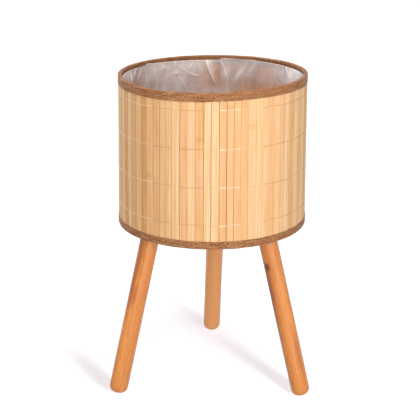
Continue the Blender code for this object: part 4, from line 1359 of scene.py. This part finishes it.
def screw_tree(blank):
    """One screw at every point, each turned by its own amount."""
    tree, add, given = new_tree("Plate Screws")
    shape = add("ObjectInfo", blank).outputs["Geometry"]
    turn = add("CombineXYZ", Z=add("InputNamedAttribute", Name="spin", data_type="FLOAT"))
    close_tree(add, add("InstanceOnPoints", given["Geometry"], Instance=shape, Rotation=turn), given)
    return tree


class FLOWERPOT_OT_make_fittings(bpy.types.Operator):
    """Makes the leg plates and their screws, and finishes the bolts and tacks"""

    bl_idname = "flowerpot.make_fittings"
    bl_label = "Make Fittings"

    def execute(self, context):
        look = context.scene.flowerpot_legs
        plated = zinc_plating("zinc_plated_plate", look, dullness=0.42)
        bright = zinc_plating("bright_zinc", look, dullness=0.25)
        for node in PLATES:
            name = f"steel_{node}"
            mesh = softened_mesh(name, node, look.plate_edge)
            stands_for(in_scene(name, mesh, plated), "plated_steel", node)
        centres = [(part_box(node)[0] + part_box(node)[1]) / 2 for node in SCREWS]
        base = bpy.data.meshes.new("screw_points")
        base.from_pydata([(centre.x, centre.y, 0.0) for centre in centres], [], [])
        dice = random.Random(SLAT_SEED)
        carry(base, "spin", [dice.uniform(0, math.pi) for _ in centres])
        blank = linked("screw_shape", screw_blank(look.screw_recess))
        mesh = grown_mesh("plate_screws", base, screw_tree(blank), Finish=bright)
        bpy.data.objects.remove(blank)
        shade(mesh, sharp_angle=35)
        stands_for(in_scene("plate_screws", mesh), "bright_steel", *SCREWS)
        repaint(bright, *BOLTS, *TACKS)
        return {"FINISHED"}


def round_drum(distance, bearing, height):
    """A place by its distance from the drum's axis, degrees right of the front, and height."""
    turn = math.radians(bearing)
    return Vector((AXIS.x + distance * math.sin(turn), AXIS.y - distance * math.cos(turn), height))


def soft_box(lamp, energy, aim, floor):
    """A square soft light that points at the aim, and what light linking does with the floor under it."""
    name = f"{lamp.name}_box"
    data = bpy.data.lights.new(name, "AREA")
    data.energy = energy
    data.size = lamp.size
    light = linked(name, data)
    light.location = place = round_drum(lamp.distance, lamp.bearing, lamp.height)
    light.rotation_euler = (aim - place).to_track_quat("-Z", "Y").to_euler()
    chosen = bpy.data.collections.new(f"{lamp.floor.lower()}d_by_{name}")
    chosen.objects.link(floor)
    chosen.collection_objects[0].light_linking.link_state = lamp.floor
    light.light_linking.receiver_collection = chosen


def white_room(strength):
    """World light: even and white, and plain white where it is seen."""
    world = bpy.context.scene.world = bpy.data.worlds.new("white_room")
    add = cleared_tree(world)
    lighting = add("Background", Color=(1, 1, 1), Strength=strength)
    shown = add("Background", Color=(1, 1, 1), Strength=1.0)
    add("OutputWorld", add("MixShader", seen_directly(add), lighting, shown))


def photo_camera():
    """The camera where the photograph was taken from."""
    data = bpy.data.cameras.new("photo_camera")
    data.lens = CAMERA_LENS
    data.sensor_width = 36.0
    camera = linked("photo_camera", data)
    place = Matrix.Translation(round_drum(CAMERA_DISTANCE, CAMERA_BEARING, CAMERA_HEIGHT))
    heading = Matrix.Rotation(math.radians(CAMERA_BEARING + CAMERA_HEADING), 4, "Z")
    pitch = Matrix.Rotation(math.radians(90 - CAMERA_PITCH), 4, "X")
    roll = Matrix.Rotation(math.radians(CAMERA_ROLL), 4, "Z")
    camera.matrix_world = place @ heading @ pitch @ roll
    bpy.context.scene.camera = camera


class FLOWERPOT_OT_set_stage(bpy.types.Operator):
    """Sets up the floor, the lights and the camera"""

    bl_idname = "flowerpot.set_stage"
    bl_label = "Set Stage"

    def execute(self, context):
        look = context.scene.flowerpot_studio
        mesh = bpy.data.meshes.new("floor")
        signs = [(-1, -1), (1, -1), (1, 1), (-1, 1)]
        mesh.from_pydata([(x * FLOOR_REACH, y * FLOOR_REACH, 0) for x, y in signs], [], [(0, 1, 2, 3)])
        mesh.materials.append(studio_floor(look))
        floor = linked("floor", mesh)
        aim = Vector((AXIS.x, AXIS.y, (WALL.low + WALL.high) / 2))
        for lamp in LAMPS:
            soft_box(lamp, getattr(look, f"{lamp.name}_power"), aim, floor)
        white_room(look.room)
        photo_camera()
        context.scene.view_settings.view_transform = "Standard"
        return {"FINISHED"}


OPERATORS = [
    FLOWERPOT_OT_make_slats,
    FLOWERPOT_OT_make_threads,
    FLOWERPOT_OT_make_tapes,
    FLOWERPOT_OT_make_lining,
    FLOWERPOT_OT_make_liner,
    FLOWERPOT_OT_make_legs,
    FLOWERPOT_OT_make_fittings,
    FLOWERPOT_OT_set_stage,
]
LOOKS = [
    (DrumLook, "flowerpot_drum"),
    (LinerLook, "flowerpot_liner"),
    (LegLook, "flowerpot_legs"),
    (StudioLook, "flowerpot_studio"),
]


class FLOWERPOT_PT_panel(bpy.types.Panel):
    """Lists what the pot is made of"""

    bl_idname = "FLOWERPOT_PT_panel"
    bl_label = "Footed Flower Pot"
    bl_space_type = "VIEW_3D"
    bl_region_type = "UI"
    bl_category = "Flower Pot"

    def draw(self, context):
        for operator in OPERATORS:
            self.layout.operator(operator.bl_idname)
        for _, name in LOOKS:
            look = getattr(context.scene, name)
            box = self.layout.box()
            for prop in look.bl_rna.properties:
                if prop.identifier not in {"rna_type", "name"}:
                    box.prop(look, prop.identifier)


def register():
    for look, name in LOOKS:
        bpy.utils.register_class(look)
        setattr(bpy.types.Scene, name, PointerProperty(type=look))
    for item in [*OPERATORS, FLOWERPOT_PT_panel]:
        bpy.utils.register_class(item)


def unregister():
    for item in reversed([*OPERATORS, FLOWERPOT_PT_panel]):
        bpy.utils.unregister_class(item)
    for look, name in reversed(LOOKS):
        delattr(bpy.types.Scene, name)
        bpy.utils.unregister_class(look)


def main():
    register()
    bpy.ops.flowerpot.make_slats()
    bpy.ops.flowerpot.make_threads()
    bpy.ops.flowerpot.make_tapes()
    bpy.ops.flowerpot.make_lining()
    bpy.ops.flowerpot.make_liner()
    bpy.ops.flowerpot.make_legs()
    bpy.ops.flowerpot.make_fittings()
    bpy.ops.flowerpot.set_stage()


if __name__ == "__main__":
    main()
